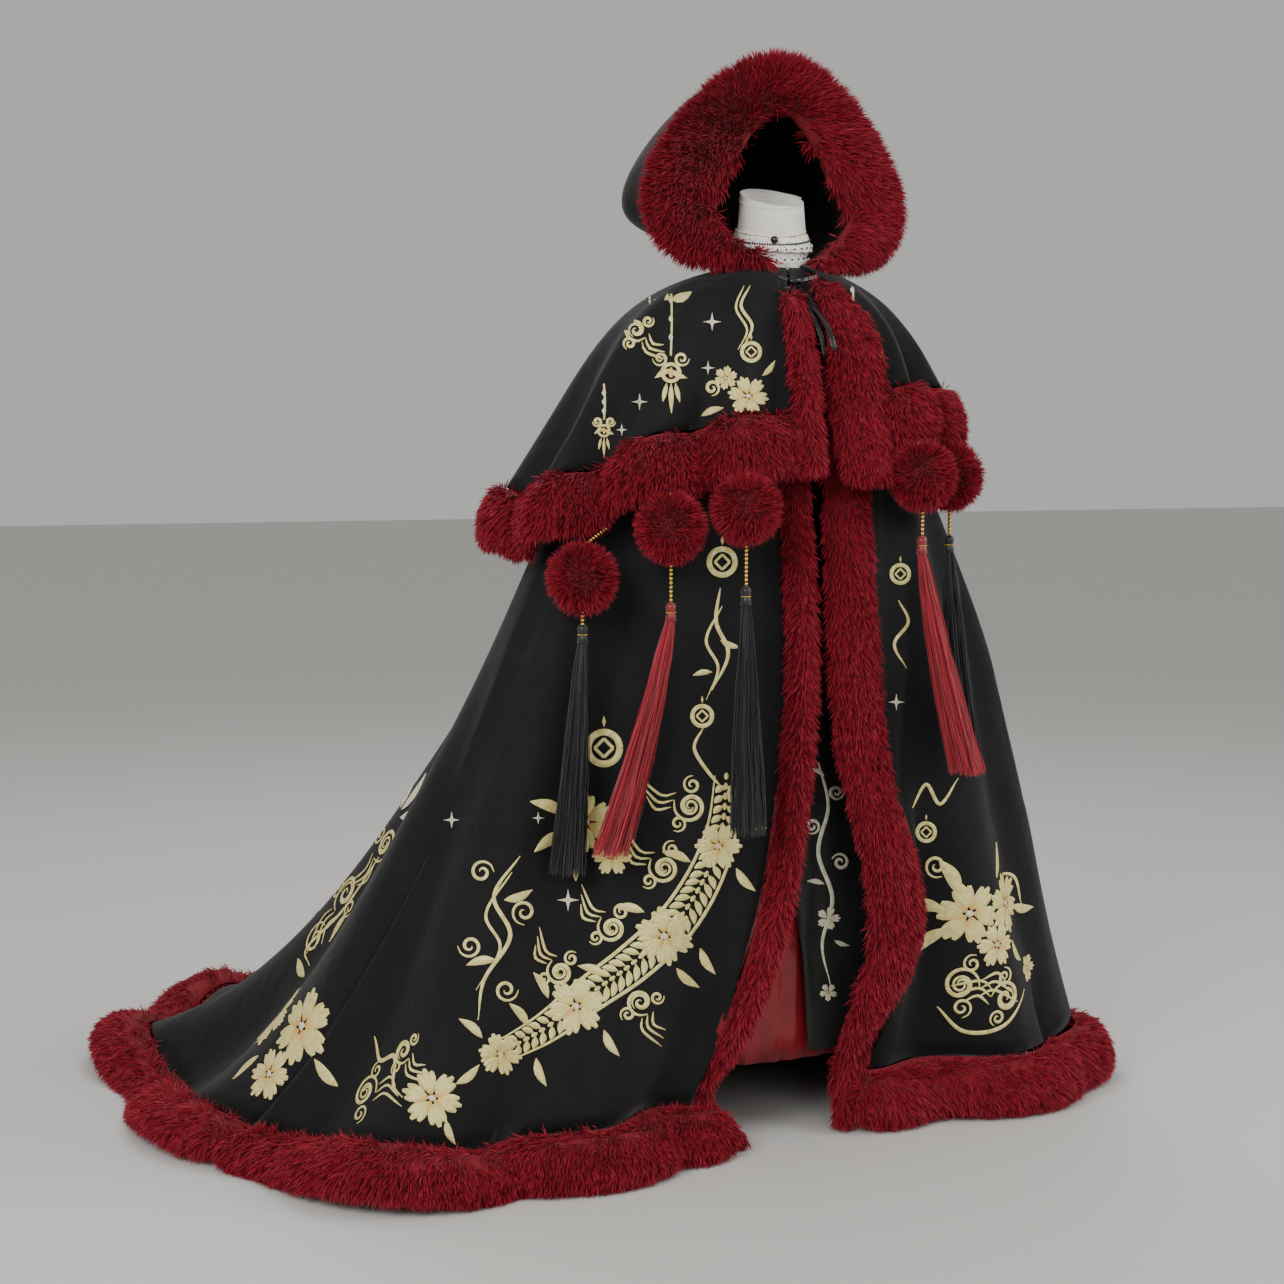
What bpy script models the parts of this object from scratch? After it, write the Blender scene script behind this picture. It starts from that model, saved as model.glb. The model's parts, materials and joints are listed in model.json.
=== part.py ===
"""A hooded hanfu set: train cloak, shoulder cape, hood, inner robe, underskirt, pompoms and tassels.

Lengths are in metres and +Z is up. The wearer looks along -Y, with the right side at -X. The origin
is the base of the neck, where the wearer's shoulders carry the set, and the floor lies FLOOR below.

A "turn" is the way round the body in degrees: 0 at the right edge of the front opening, 90 at the
right side, 180 at the back, 270 at the left side and 360 at the left edge of the opening. A "drop"
is a depth below the origin. Each cloth layer is one smooth surface over turn and drop, and its
panels are stretches of that surface, so the walls stay parallel across every seam.
"""

import math

import bmesh
import bpy
import numpy as np
from mathutils import Vector
from mathutils.bvhtree import BVHTree

# Driving sizes
FLOOR = -1.50
WALL = 0.002
SEAM = 0.0003
NECK_WIDE = 0.068
NECK_DEEP = 0.065
FUR_WIDTH = 0.115
FUR_BULGE = 0.040
CAPE_FUR_WIDTH = 0.105
CAPE_FUR_BULGE = 0.031
CAPE_FUR_LONG = 0.165
CAPE_FUR_START = (1.8, 1.4)
FRONT_FUR_YAW = 10
FRONT_FUR_TAIL_STEPS = 3
FUR_BACK = 0.004
POMPOM_RADIUS = 0.050
POMPOM_SIDES = 12
POMPOM_RINGS = 8
POMPOM_POLE = 0.003
POMPOM_LUMP = 0.05
CAPE_FUR_LEAN = 72
RIBBON_THICK = 0.0015
RIBBON_WIDE = 0.010
RIBBON_START = 0.38
RIBBON_STEPS = 6
UP = Vector((0, 0, 1))

# How many columns, rows and folds each piece has
CLOAK_COLUMNS = 64
CLOAK_ROWS = 12
CLOAK_FOLDS = 11
CLOAK_FOLD_DEPTH = 0.040
CLOAK_FOLD_START = 0.14
CLOAK_FOLD_WANDER = 34
CLOAK_SWELL = 0.016
CLOAK_CALM = 18
CAPE_COLUMNS = 60
CAPE_ROWS = 6
CAPE_FOLDS = 12
CAPE_FOLD_DEPTH = 0.030
CAPE_FOLD_START = 0.25
CAPE_FOLD_WANDER = 40
CAPE_FOLD_PHASE = -216
CAPE_CALM = 14
HOOD_ROWS = 12
HOOD_DEEP = 9
ROBE_COLUMNS = 26
ROBE_ROWS = 12
ROBE_SIDE_SEAMS = (7, 19)
ARMHOLE_ROW = 2
ARMHOLE_WIDE = 0.85
ROBE_WAVE_DEPTH = 0.018
ROBE_WAVE_START = 0.4
ROBE_WAVES = 8
ROBE_CALM = 20
SKIRT_COLUMNS = 26
SKIRT_ROWS = 5
SKIRT_FOLDS = 9
SKIRT_FOLD_DEPTH = 0.064
SLEEVE_SIDES = 10
COLLAR_COLUMNS = 24
LACE_SCALLOPS = 18
SWEEP_STEPS = 10
FINE_STEPS = 24
EDGE_REACH = 40
ROOT_SHARE = 0.05
SHARP_ANGLE = 50
HOLD_STEPS = 12

# Panels as stretches of columns
CLOAK_CUTS = (("right_front", 0, 16), ("back_right", 16, 33), ("back_left", 33, 49), ("left_front", 49, 64))
CAPE_CUTS = (("right", 0, 19), ("back", 19, 43), ("left", 43, 60))
ROBE_CUTS = (("right_front", 0, 7), ("back_right", 7, 13), ("back_left", 13, 19), ("left_front", 19, 26))

# Finishes: name, colour, roughness, metallic
FINISHES = (
    ("black_wool", (0.008, 0.008, 0.009), 0.85, 0.0),
    ("robe_silk", (0.012, 0.014, 0.013), 0.55, 0.0),
    ("crimson_fur", (0.235, 0.008, 0.020), 0.95, 0.0),
    ("red_satin", (0.360, 0.018, 0.028), 0.35, 0.0),
    ("white_cloth", (0.780, 0.760, 0.730), 0.70, 0.0),
    ("black_ribbon", (0.012, 0.012, 0.014), 0.30, 0.0),
    ("gold_bead", (0.700, 0.520, 0.230), 0.30, 0.9),
    ("red_thread", (0.420, 0.010, 0.030), 0.60, 0.0),
    ("black_thread", (0.010, 0.010, 0.011), 0.60, 0.0),
)

# The cloak's body down to the hips, as half widths of its section at each drop
CLOAK_BODY = (
    # drop, right, left, front, back
    (0.001, NECK_WIDE, NECK_WIDE, NECK_DEEP, NECK_DEEP),
    (0.020, 0.116, 0.112, 0.088, 0.096),
    (0.050, 0.168, 0.158, 0.106, 0.124),
    (0.100, 0.222, 0.200, 0.123, 0.162),
    (0.200, 0.285, 0.233, 0.138, 0.215),
    (0.320, 0.345, 0.266, 0.148, 0.285),
    (0.470, 0.415, 0.328, 0.158, 0.365),
    (0.700, 0.510, 0.430, 0.170, 0.470),
)

# Where the cloth's two edges run beside the front opening, to the right and left of the middle
CLOAK_EDGES = (
    # drop, right, left
    (0.001, 0.034, 0.020),
    (0.050, 0.050, 0.070),
    (0.200, 0.060, 0.100),
    (0.630, 0.062, 0.107),
    (0.810, 0.060, 0.133),
    (0.910, 0.077, 0.166),
    (1.000, 0.088, 0.203),
    (1.100, 0.106, 0.240),
    (1.160, 0.124, 0.242),
    (1.220, 0.146, 0.218),
    (1.310, 0.180, 0.164),
    (1.400, 0.206, 0.140),
    (1.460, 0.218, 0.140),
)

# The cloak's hem: where its cloth ends, how its line sweeps out, and how far its fur hangs down
CLOAK_HEM = (
    # turn, x, y, sweep, lean
    (0, -0.218, -0.115, 3.5, 42),
    (28, -0.420, -0.160, 2.0, 42),
    (56, -0.660, -0.165, 1.6, 36),
    (84, -0.860, 0.100, 1.35, 25),
    (105, -0.930, 0.400, 1.35, 16),
    (125, -0.920, 0.700, 1.45, 14),
    (144, -0.850, 0.960, 1.60, 14),
    (162, -0.700, 1.100, 1.80, 14),
    (182, -0.430, 1.120, 1.95, 14),
    (203, -0.110, 1.020, 1.95, 14),
    (224, 0.180, 0.830, 1.95, 15),
    (246, 0.400, 0.570, 1.8, 22),
    (268, 0.540, 0.300, 1.4, 36),
    (292, 0.615, 0.060, 1.1, 50),
    (315, 0.570, -0.090, 1.1, 55),
    (338, 0.370, -0.120, 1.3, 55),
    (360, 0.140, -0.100, 1.6, 55),
)

# The fur along the cloak's front edges, thin where the cape presses on it
CLOAK_FRONT_FUR = (
    # drop, right width, left width, bulge
    (0.000, 0.020, 0.030, 0.004),
    (0.060, 0.036, 0.060, 0.005),
    (0.240, 0.042, 0.092, 0.006),
    (0.330, 0.046, 0.098, 0.022),
    (0.420, 0.050, 0.100, 0.034),
    (0.700, 0.052, 0.104, 0.040),
    (1.000, 0.056, 0.120, 0.042),
    (1.150, 0.056, 0.132, 0.042),
    (1.300, 0.054, 0.096, 0.040),
    (1.380, 0.046, 0.070, 0.036),
    (1.430, 0.026, 0.050, 0.032),
    (1.500, 0.010, 0.030, 0.026),
)

# The cape's body, as half widths of its section at each drop
CAPE_BODY = (
    # drop, right, left, front, back
    (-0.0016, NECK_WIDE, NECK_WIDE, NECK_DEEP, NECK_DEEP),
    (0.012, 0.132, 0.118, 0.094, 0.112),
    (0.038, 0.205, 0.170, 0.122, 0.158),
    (0.085, 0.272, 0.220, 0.148, 0.210),
    (0.180, 0.335, 0.272, 0.176, 0.275),
    (0.280, 0.388, 0.320, 0.200, 0.335),
    (0.400, 0.452, 0.385, 0.225, 0.400),
)
CAPE_EDGES = (
    # drop, right, left
    (-0.0016, 0.036, 0.022),
    (0.038, 0.050, 0.055),
    (0.085, 0.056, 0.100),
    (0.280, 0.058, 0.108),
    (0.400, 0.060, 0.110),
)
CAPE_FRONT_FUR = (
    # drop, right width, left width, bulge
    (0.000, 0.016, 0.012, 0.008),
    (0.040, 0.030, 0.048, 0.018),
    (0.085, 0.040, 0.092, 0.028),
    (0.280, 0.042, 0.100, 0.032),
    (0.600, 0.042, 0.100, 0.032),
)
CAPE_HEM = (
    # turn, drop
    (0, 0.250),
    (22, 0.262),
    (48, 0.300),
    (76, 0.365),
    (100, 0.385),
    (150, 0.390),
    (190, 0.370),
    (230, 0.310),
    (265, 0.255),
    (300, 0.225),
    (330, 0.205),
    (360, 0.210),
)

# The hood: each row is one arch from the ridge over the cheek to the neck
HOOD_ARCHES = (
    # depth, ridge y, ridge z, cheek x, cheek y, cheek z, neck turn
    (0.00, 0.000, 0.302, 0.190, 0.012, 0.088, 30),
    (0.35, 0.120, 0.348, 0.205, 0.100, 0.105, 74),
    (0.70, 0.245, 0.318, 0.190, 0.215, 0.105, 122),
    (1.00, 0.330, 0.215, 0.000, 0.325, 0.100, 180),
)
HOOD_NECK_KEY = 1.75
HOOD_NECK_DROP = -0.0024
HOOD_FUR_LOWEST = 0.0032
HOOD_FUR_GAP = 0.0008
HOOD_FUR = (
    # share of the way round the rim from the right end, inward and outward half width, bulge
    (0.00, 0.008, 0.026, 0.034),
    (0.06, 0.014, 0.040, 0.046),
    (0.13, 0.056, 0.054, 0.060),
    (0.25, 0.078, 0.066, 0.068),
    (0.50, 0.045, 0.056, 0.062),
    (0.75, 0.058, 0.060, 0.066),
    (0.87, 0.046, 0.050, 0.058),
    (0.94, 0.014, 0.038, 0.046),
    (1.00, 0.008, 0.026, 0.034),
)

# The robe under the cloak, and the underskirt under the robe
ROBE_BODY = (
    # drop, right, left, front, back
    (0.0042, NECK_WIDE, NECK_WIDE, NECK_DEEP, NECK_DEEP),
    (0.030, 0.105, 0.105, 0.080, 0.085),
    (0.070, 0.150, 0.150, 0.096, 0.105),
    (0.150, 0.165, 0.165, 0.108, 0.120),
    (0.300, 0.150, 0.150, 0.108, 0.115),
    (0.480, 0.150, 0.150, 0.104, 0.120),
    (0.800, 0.210, 0.205, 0.112, 0.190),
    (1.100, 0.255, 0.245, 0.100, 0.250),
    (1.370, 0.280, 0.265, 0.072, 0.290),
)
ROBE_EDGES = (
    # drop, right, left
    (0.0042, 0.006, 0.000),
    (0.300, 0.040, -0.034),
    (0.700, 0.075, -0.030),
    (0.980, 0.105, -0.014),
    (1.120, 0.115, 0.004),
    (1.220, 0.120, 0.024),
    (1.370, 0.132, 0.044),
)
SKIRT_BODY = (
    # drop, right, left, front, back; at the waist its back lies on the robe
    (0.460, 0.138, 0.138, 0.092, 0.108),
    (0.800, 0.190, 0.185, 0.092, 0.165),
    (1.100, 0.225, 0.215, 0.080, 0.215),
    (1.385, 0.247, 0.232, 0.056, 0.246),
)

# A sleeve hanging inside the cloak
SLEEVE = (
    # drop, out from the middle, y, half width, half depth
    (0.120, 0.178, 0.000, 0.013, 0.034),
    (0.180, 0.189, 0.000, 0.018, 0.046),
    (0.300, 0.204, 0.004, 0.030, 0.060),
    (0.450, 0.220, 0.008, 0.040, 0.072),
    (0.620, 0.258, 0.012, 0.042, 0.088),
)

# The stand collar's foot height and mean height
COLLAR_FOOT = -0.008
COLLAR_RISE = 0.128
COLLAR_STEPS = (0, 0.35, 0.7, 1)
COLLAR_DIP = 0.020
COLLAR_INSIDE = 0.0022
COLLAR_TAPER = (0.010, 0.008)
LACE_FLARE = 0.009
LACE_LONG = 0.026
LACE_TOP = (0.050, 0.024)
LACE_ON_TAPER = 0.55
LACE_SCALLOP = 0.005

# A fur band's section, on from the cloth's inner corner: share of its width, share of its height
FUR_SECTION = (
    (0.95, 0.00),
    (1.00, 0.20),
    (0.88, 0.72),
    (0.56, 1.00),
    (0.24, 0.93),
    (0.03, 0.50),
)

# The hood fur's section: share of its half width outward, share of its bulge forward
HOOD_FUR_SECTION = (
    (0.05, 0.00),
    (0.62, 0.06),
    (1.00, 0.32),
    (0.82, 0.80),
    (0.20, 1.00),
    (-0.50, 0.92),
    (-1.00, 0.45),
    (-0.80, 0.06),
    (-0.05, 0.00),
)

# A tassel's head as heights and radii, and its strands
TASSEL_HEAD = ((0.0, 0.003), (-0.006, 0.008), (-0.022, 0.0085), (-0.028, 0.0085))
TASSEL_LENGTH = 0.37
TASSEL_STEPS = (0.0, 0.45, 1.0)
TASSEL_SPREAD = 2.9
TASSEL_STRAND_SHARE = 0.72
TASSEL_SIDES = 8
TASSEL_INNER = 0.0045
TASSEL_UNEVEN = 0.03
TASSEL_CLEAR = 0.010
BEAD_PITCH = 0.010
BEAD_RADIUS = 0.0042
THREAD_RADIUS = 0.0014
BEAD_SIDES = 5
POMPOM_CLEAR = 0.006

# The neck ribbon's knot and what hangs from it
KNOT = (-0.016, -0.112, -0.030)
KNOT_HALF = 0.010
KNOT_DEEP = 0.007
KNOT_HIGH = 0.008
KNOT_SIDES = 8
STRAP_WIDE = 0.008
KNOT_SHAPE = ((-1, 0.7), (-0.6, 1.0), (0.6, 1.0), (1, 0.7))
RIBBONS = (
    # name, start beside the knot's middle, sideways, forward, fall
    ("ribbon_loop_right", -0.0068, -0.034, 0.044, 0.008),
    ("ribbon_loop_left", 0.0068, 0.020, 0.040, 0.045),
    ("ribbon_tail_right", -0.0022, 0.013, 0.118, 0.110),
    ("ribbon_tail_left", 0.0024, 0.016, 0.075, 0.120),
)

# Pompoms on the cape's hem, each over a tassel
CHARMS = (
    # name, column of the cape, strings above and below, pompom beside, tassel's swing, thread
    ("1", 10, 0.030, 0.024, (-0.050, -0.020), (-0.030, 0.000), "black_thread"),
    ("2", 7, 0.006, 0.070, (0.000, 0.000), (-0.105, 0.000), "red_thread"),
    ("3", 3, 0.006, 0.075, (0.000, 0.000), (0.000, -0.010), "black_thread"),
    ("4", 58, 0.006, 0.050, (0.006, -0.010), (0.090, -0.010), "red_thread"),
    ("5", 53, 0.006, 0.050, (0.000, 0.000), (0.030, -0.010), "black_thread"),
)


class Curve:
    """A smooth curve through values at rising keys; a value may be a number or a Vector."""

    def __init__(self, keys, values):
        self.keys = list(keys)
        self.values = list(values)
        gaps = [b - a for a, b in zip(self.keys, self.keys[1:])]
        chords = [(b - a) * (1 / gap) for a, b, gap in zip(self.values, self.values[1:], gaps)]
        inner = [(a + b) * 0.5 for a, b in zip(chords, chords[1:])]
        self.slopes = [chords[0]] + inner + [chords[-1]]

    def __call__(self, key):
        key = min(max(key, self.keys[0]), self.keys[-1])
        i = 0
        while i < len(self.keys) - 2 and key > self.keys[i + 1]:
            i += 1
        gap = self.keys[i + 1] - self.keys[i]
        f = (key - self.keys[i]) / gap
        value = self.values[i] * (2 * f ** 3 - 3 * f ** 2 + 1)
        value += self.slopes[i] * (gap * (f ** 3 - 2 * f ** 2 + f))
        value += self.values[i + 1] * (3 * f ** 2 - 2 * f ** 3)
        value += self.slopes[i + 1] * (gap * (f ** 3 - f ** 2))
        return value


def columns(table):
    """One curve for each column of a table, over its first column."""
    keys = [row[0] for row in table]
    return [Curve(keys, [row[i] for row in table]) for i in range(1, len(table[0]))]


def section_point(body, edges, drop, turn):
    """A point of a cloth layer's section at one drop."""
    right, left, front, back = [curve(drop) for curve in body]
    right_edge, left_edge = [curve(drop) for curve in edges]
    side = math.sin(math.radians(turn))
    ahead = math.cos(math.radians(turn))
    deep = front if ahead > 0 else back
    if turn <= 180:
        start = right_edge if turn < 90 else 0
        return Vector((-(start + (right - start) * side), -deep * ahead, -drop))
    start = left_edge if turn > 270 else 0
    return Vector((start - (left - start) * side, -deep * ahead, -drop))


def resample(points, count):
    """Points at even spacing along a line of points."""
    lengths = [0.0]
    for a, b in zip(points, points[1:]):
        lengths.append(lengths[-1] + (b - a).length)
    path = Curve(lengths, points)
    return [path(lengths[-1] * k / count) for k in range(count + 1)]


def as_grid(lines):
    """An array of columns of points, each running down the cloth."""
    return np.array([[tuple(point) for point in line] for line in lines])


def grid_normals(grid, wrap=False):
    """Outward normals of a grid whose columns go round the body and whose rows go down it."""
    if wrap:
        round_body = np.roll(grid, -1, axis=0) - np.roll(grid, 1, axis=0)
    else:
        round_body = np.gradient(grid, axis=0)
    normals = np.cross(round_body, np.gradient(grid, axis=1))
    return normals / np.linalg.norm(normals, axis=2, keepdims=True)


def layer_of(grid, wrap=False):
    """A cloth layer: its outer points and its normals."""
    return {"points": grid, "normals": grid_normals(grid, wrap)}


def folded(grid, depth, lowest=FLOOR):
    """A layer whose points are pushed along their normals by a depth of turn and share."""
    normals = grid_normals(grid)
    last_column = len(grid) - 1
    last_row = len(grid[0]) - 1
    pushed = grid.copy()
    for i in range(last_column + 1):
        for j in range(last_row + 1):
            pushed[i, j] += normals[i, j] * depth(360 * i / last_column, j / last_row)
    pushed[:, :, 2] = np.maximum(pushed[:, :, 2], lowest)
    return layer_of(pushed)


def tree_of(layer):
    """A search tree of a layer's outer face, with its normals facing out."""
    grid = layer["points"]
    rows = len(grid[0])
    faces = [(i * rows + j, (i + 1) * rows + j, (i + 1) * rows + j + 1, i * rows + j + 1)
             for i in range(len(grid) - 1) for j in range(rows - 1)]
    return BVHTree.FromPolygons([Vector(point) for line in grid for point in line], faces)


def held_off(tree, centre, reach):
    """A centre moved level with the floor until it is a reach away from a cloth's outer face."""
    for _ in range(HOLD_STEPS):
        spot, normal, _, _ = tree.find_nearest(centre)
        short = reach - (centre - spot).dot(normal)
        if short <= 0:
            break
        level = Vector((normal.x, normal.y, 0))
        centre = centre + level * (short / level.length_squared)
    return centre


def calm_near_opening(turn, reach):
    """Nothing at the front opening's edges, rising to 1 at a reach of turn from them."""
    return min(1.0, min(turn, 360 - turn) / reach)


def finish(name, bm, material):
    """Make a named object of a bmesh, with its own finish, and put it in the collection."""
    bmesh.ops.recalc_face_normals(bm, faces=bm.faces)
    mesh = bpy.data.meshes.new(name)
    bm.to_mesh(mesh)
    bm.free()
    mesh.materials.append(MATERIALS[material])
    mesh.shade_smooth()
    mesh.set_sharp_from_angle(angle=math.radians(SHARP_ANGLE))
    obj = bpy.data.objects.new(name, mesh)
    COLLECTION.objects.link(obj)
    return obj


def skin(bm, rings, wrap=False):
    """Skin closed rings of points, each with the same count; wrap joins the last to the first."""
    loops = [[bm.verts.new(point) for point in ring] for ring in rings]
    count = len(loops[0])
    pairs = list(zip(loops, loops[1:]))
    if wrap:
        pairs.append((loops[-1], loops[0]))
    for near, far in pairs:
        for k in range(count):
            bm.faces.new((near[k], near[(k + 1) % count], far[(k + 1) % count], far[k]))
    return loops


def loft(name, rings, material):
    """One solid through a row of rings, closed by a face at each end."""
    bm = bmesh.new()
    loops = skin(bm, rings)
    bm.faces.new(loops[0][::-1])
    bm.faces.new(loops[-1])
    return finish(name, bm, material)


def panel(name, layer, material, seams=(False, False), wrap=False, side=0):
    """A cloth panel: its outer points, the same points moved in by the wall, and its rims.

    A side of -1 or 1 keeps the whole panel on the wearer's right or left of the middle.
    """
    outer = np.array(layer["points"])
    inner = outer - layer["normals"] * WALL
    for face in (outer, inner):
        for end, beside, sewn in ((0, 1, seams[0]), (-1, -2, seams[1])):
            if sewn:
                inward = face[beside] - face[end]
                face[end] += inward / np.linalg.norm(inward, axis=1, keepdims=True) * SEAM / 2
        if side:
            face[:, :, 0] = side * np.maximum(side * face[:, :, 0], SEAM / 2)
    rings = [list(out_line) + list(in_line[::-1]) for out_line, in_line in zip(outer, inner)]
    bm = bmesh.new()
    loops = skin(bm, rings, wrap)
    count = len(loops[0])
    for loop in () if wrap else (loops[0], loops[-1]):
        for k in range(count // 2 - 1):
            bm.faces.new((loop[k], loop[k + 1], loop[count - 2 - k], loop[count - 1 - k]))
    return finish(name, bm, material)


def stretch(layer, first, last):
    """The stretch of a layer between two of its columns."""
    return {key: layer[key][first:last + 1] for key in ("points", "normals")}


def fur_ring(edge, away, out, width, bulge, root=None):
    """One section of a fur band that carries on from a cloth's edge, kept above the floor.

    The band leans its own way, but its root stands square to the cloth's edge: root holds the
    way straight on from the cloth and the cloth's normal. Its first two points face the edge.
    """
    on, up = root or (away, out)
    ring = [edge + on * SEAM, edge + on * SEAM - up * WALL]
    for across, high in FUR_SECTION:
        lift = high * (bulge + FUR_BACK) - FUR_BACK
        on, up = root if root and across < ROOT_SHARE else (away, out)
        point = edge + on * (SEAM + across * width) + up * lift
        point.z = max(point.z, FLOOR)
        ring.append(point)
    return ring


def hem_roots(line, aways, normals):
    """For each point of a hem, the way straight on from the cloth, and the cloth's normal."""
    roots = []
    for i, (away, normal) in enumerate(zip(aways, normals)):
        up = Vector(normal)
        along = line[min(i + 1, len(line) - 1)] - line[max(i - 1, 0)]
        on = along.cross(up).normalized()
        if on.dot(away) < 0:
            on = -on
        roots.append((on, up))
    return roots


def hem_frame(line, leans):
    """Directions away from the cloth and out of the fur along a hem line."""
    aways = []
    outs = []
    for i, lean in enumerate(leans):
        along = line[min(i + 1, len(line) - 1)] - line[max(i - 1, 0)]
        level = Vector((-along.y, along.x, 0)).normalized()
        slope = math.radians(lean)
        aways.append(level * math.cos(slope) - UP * math.sin(slope))
        outs.append(level * math.sin(slope) + UP * math.cos(slope))
    return aways, outs


def edge_frame(layer, column, beside):
    """Points of a layer's front edge, the way on from the cloth, and the outward normals."""
    edge = [Vector(p) for p in layer["points"][column]]
    outs = [Vector(n) for n in layer["normals"][column]]
    aways = []
    for point, near, out in zip(edge, layer["points"][beside], outs):
        away = point - Vector(near)
        away -= out * away.dot(out)
        aways.append(away.normalized())
    return edge, aways, outs


def front_fur(name, layer, column, beside, hem_away, hem_out, sizes, longer, first):
    """The fur along one front edge; it runs on past the hem, and the hem's fur butts against it.

    It starts at a row of its own, turns a little forward, and its root is square to the cloth.
    """
    edge, aways, outs = edge_frame(layer, column, beside)
    side = 1 if column == 0 else -1
    yaw = math.radians(FRONT_FUR_YAW)
    away = Vector((side * math.cos(yaw), -math.sin(yaw), 0))
    out = Vector((-side * math.sin(yaw), -math.cos(yaw), 0))
    rings = []
    for row in [first] + [k for k in range(len(edge) - 1) if k > first]:
        above = int(row)
        point, on, up = [way[above].lerp(way[above + 1], row - above) for way in (edge, aways, outs)]
        rings.append(fur_ring(point, away, out, *sizes(-point.z), (on.normalized(), up.normalized())))
    corner = edge[-1]
    sideways = hem_away.cross(hem_out).normalized()
    if sideways.dot(away) < 0:
        sideways = -sideways
    root_up = (outs[-1] - sideways * outs[-1].dot(sideways)).normalized()
    for k in range(FRONT_FUR_TAIL_STEPS + 1):
        point = corner + hem_away * longer * k / FRONT_FUR_TAIL_STEPS
        rings.append(fur_ring(point, sideways, hem_out, *sizes(-point.z), (sideways, root_up)))
    return loft(name, rings, "crimson_fur")


def hem_fur(name, line, aways, outs, roots, width, bulge, seams):
    """The fur along one stretch of a hem; its ends are flat, so that it stands beside the next."""
    line = [point.copy() for point in line]
    roots = list(roots)
    for end, beside, sewn in ((0, 1, seams[0]), (-1, -2, seams[1])):
        inward = aways[end].cross(outs[end]).normalized()
        if inward.dot(line[beside] - line[end]) < 0:
            inward = -inward
        if sewn:
            line[end] += inward * SEAM / 2
        roots[end] = tuple((way - inward * way.dot(inward)).normalized() for way in roots[end])
    rings = [fur_ring(point, away, out, width, bulge, root)
             for point, away, out, root in zip(line, aways, outs, roots)]
    return loft(name, rings, "crimson_fur")


def cloak_layer():
    """The cloak's outer surface: gore lines from the neckline over the hips to the hem."""
    body = columns(CLOAK_BODY)
    edges = columns(CLOAK_EDGES)
    hem_x, hem_y, sweeps, leans = columns(CLOAK_HEM)

    def gore(turn):
        line = [section_point(body, edges, row[0], turn) for row in CLOAK_BODY]
        hip = line[-1]
        lift = FUR_WIDTH * math.sin(math.radians(leans(turn))) + FUR_BACK + SEAM
        hem = Vector((hem_x(turn), hem_y(turn), FLOOR + lift))
        near_edge = max(0.0, 1 - min(turn, 360 - turn) / EDGE_REACH) ** 2
        for k in range(1, SWEEP_STEPS + 1):
            f = k / SWEEP_STEPS
            point = hip.lerp(hem, f)
            point.z = hem.z + (hip.z - hem.z) * (1 - f) ** sweeps(turn)
            edge_right, edge_left = [curve(-point.z) for curve in edges]
            edge_x = -edge_right if turn < 180 else edge_left
            point.x += (edge_x - point.x) * near_edge
            line.append(point)
        return resample(line, CLOAK_ROWS)

    def depth(turn, share):
        grow = max(0.0, (share - CLOAK_FOLD_START) / (1 - CLOAK_FOLD_START)) ** 1.1
        wander = CLOAK_FOLD_WANDER * math.sin(math.radians(2 * turn + 20))
        main = math.cos(math.radians(CLOAK_FOLDS * turn + wander))
        slow = math.sin(math.radians(5 * turn + 70))
        return calm_near_opening(turn, CLOAK_CALM) * grow * (CLOAK_FOLD_DEPTH * main + CLOAK_SWELL * slow)

    grid = as_grid([gore(360 * i / CLOAK_COLUMNS) for i in range(CLOAK_COLUMNS + 1)])
    return folded(grid, depth, FLOOR + FUR_BACK + WALL + SEAM)


def cape_layer():
    """The shoulder cape's outer surface, with deep folds that grow down to the hem."""
    body = columns(CAPE_BODY)
    edges = columns(CAPE_EDGES)
    hem_drop = columns(CAPE_HEM)[0]
    top = CAPE_BODY[0][0]

    def gore(turn):
        low = hem_drop(turn)
        drops = [top + (low - top) * (k / FINE_STEPS) ** 1.4 for k in range(FINE_STEPS + 1)]
        return resample([section_point(body, edges, drop, turn) for drop in drops], CAPE_ROWS)

    def depth(turn, share):
        grow = max(0.0, (share - CAPE_FOLD_START) / (1 - CAPE_FOLD_START)) ** 1.4
        wander = CAPE_FOLD_WANDER * math.sin(math.radians(turn * 1.5))
        wave = math.cos(math.radians(CAPE_FOLDS * turn + CAPE_FOLD_PHASE + wander))
        return CAPE_FOLD_DEPTH * calm_near_opening(turn, CAPE_CALM) * grow * wave

    return folded(as_grid([gore(360 * i / CAPE_COLUMNS) for i in range(CAPE_COLUMNS + 1)]), depth)


def plain_layer(body_table, edge_table, count, rows, wave):
    """A hidden layer that follows its table down, with soft waves at its hem."""
    body = columns(body_table)
    edges = columns(edge_table)
    top = body_table[0][0]
    low = body_table[-1][0]
    drops = [top + (low - top) * (k / FINE_STEPS) ** 1.3 for k in range(FINE_STEPS + 1)]
    lines = []
    for i in range(count + 1):
        line = [section_point(body, edges, drop, 360 * i / count) for drop in drops]
        lines.append(resample(line, rows))

    def depth(turn, share):
        low_share = max(0.0, share - ROBE_WAVE_START)
        calm = calm_near_opening(turn, ROBE_CALM)
        return wave * calm * low_share * math.cos(math.radians(ROBE_WAVES * turn))

    return folded(as_grid(lines), depth)


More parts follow.
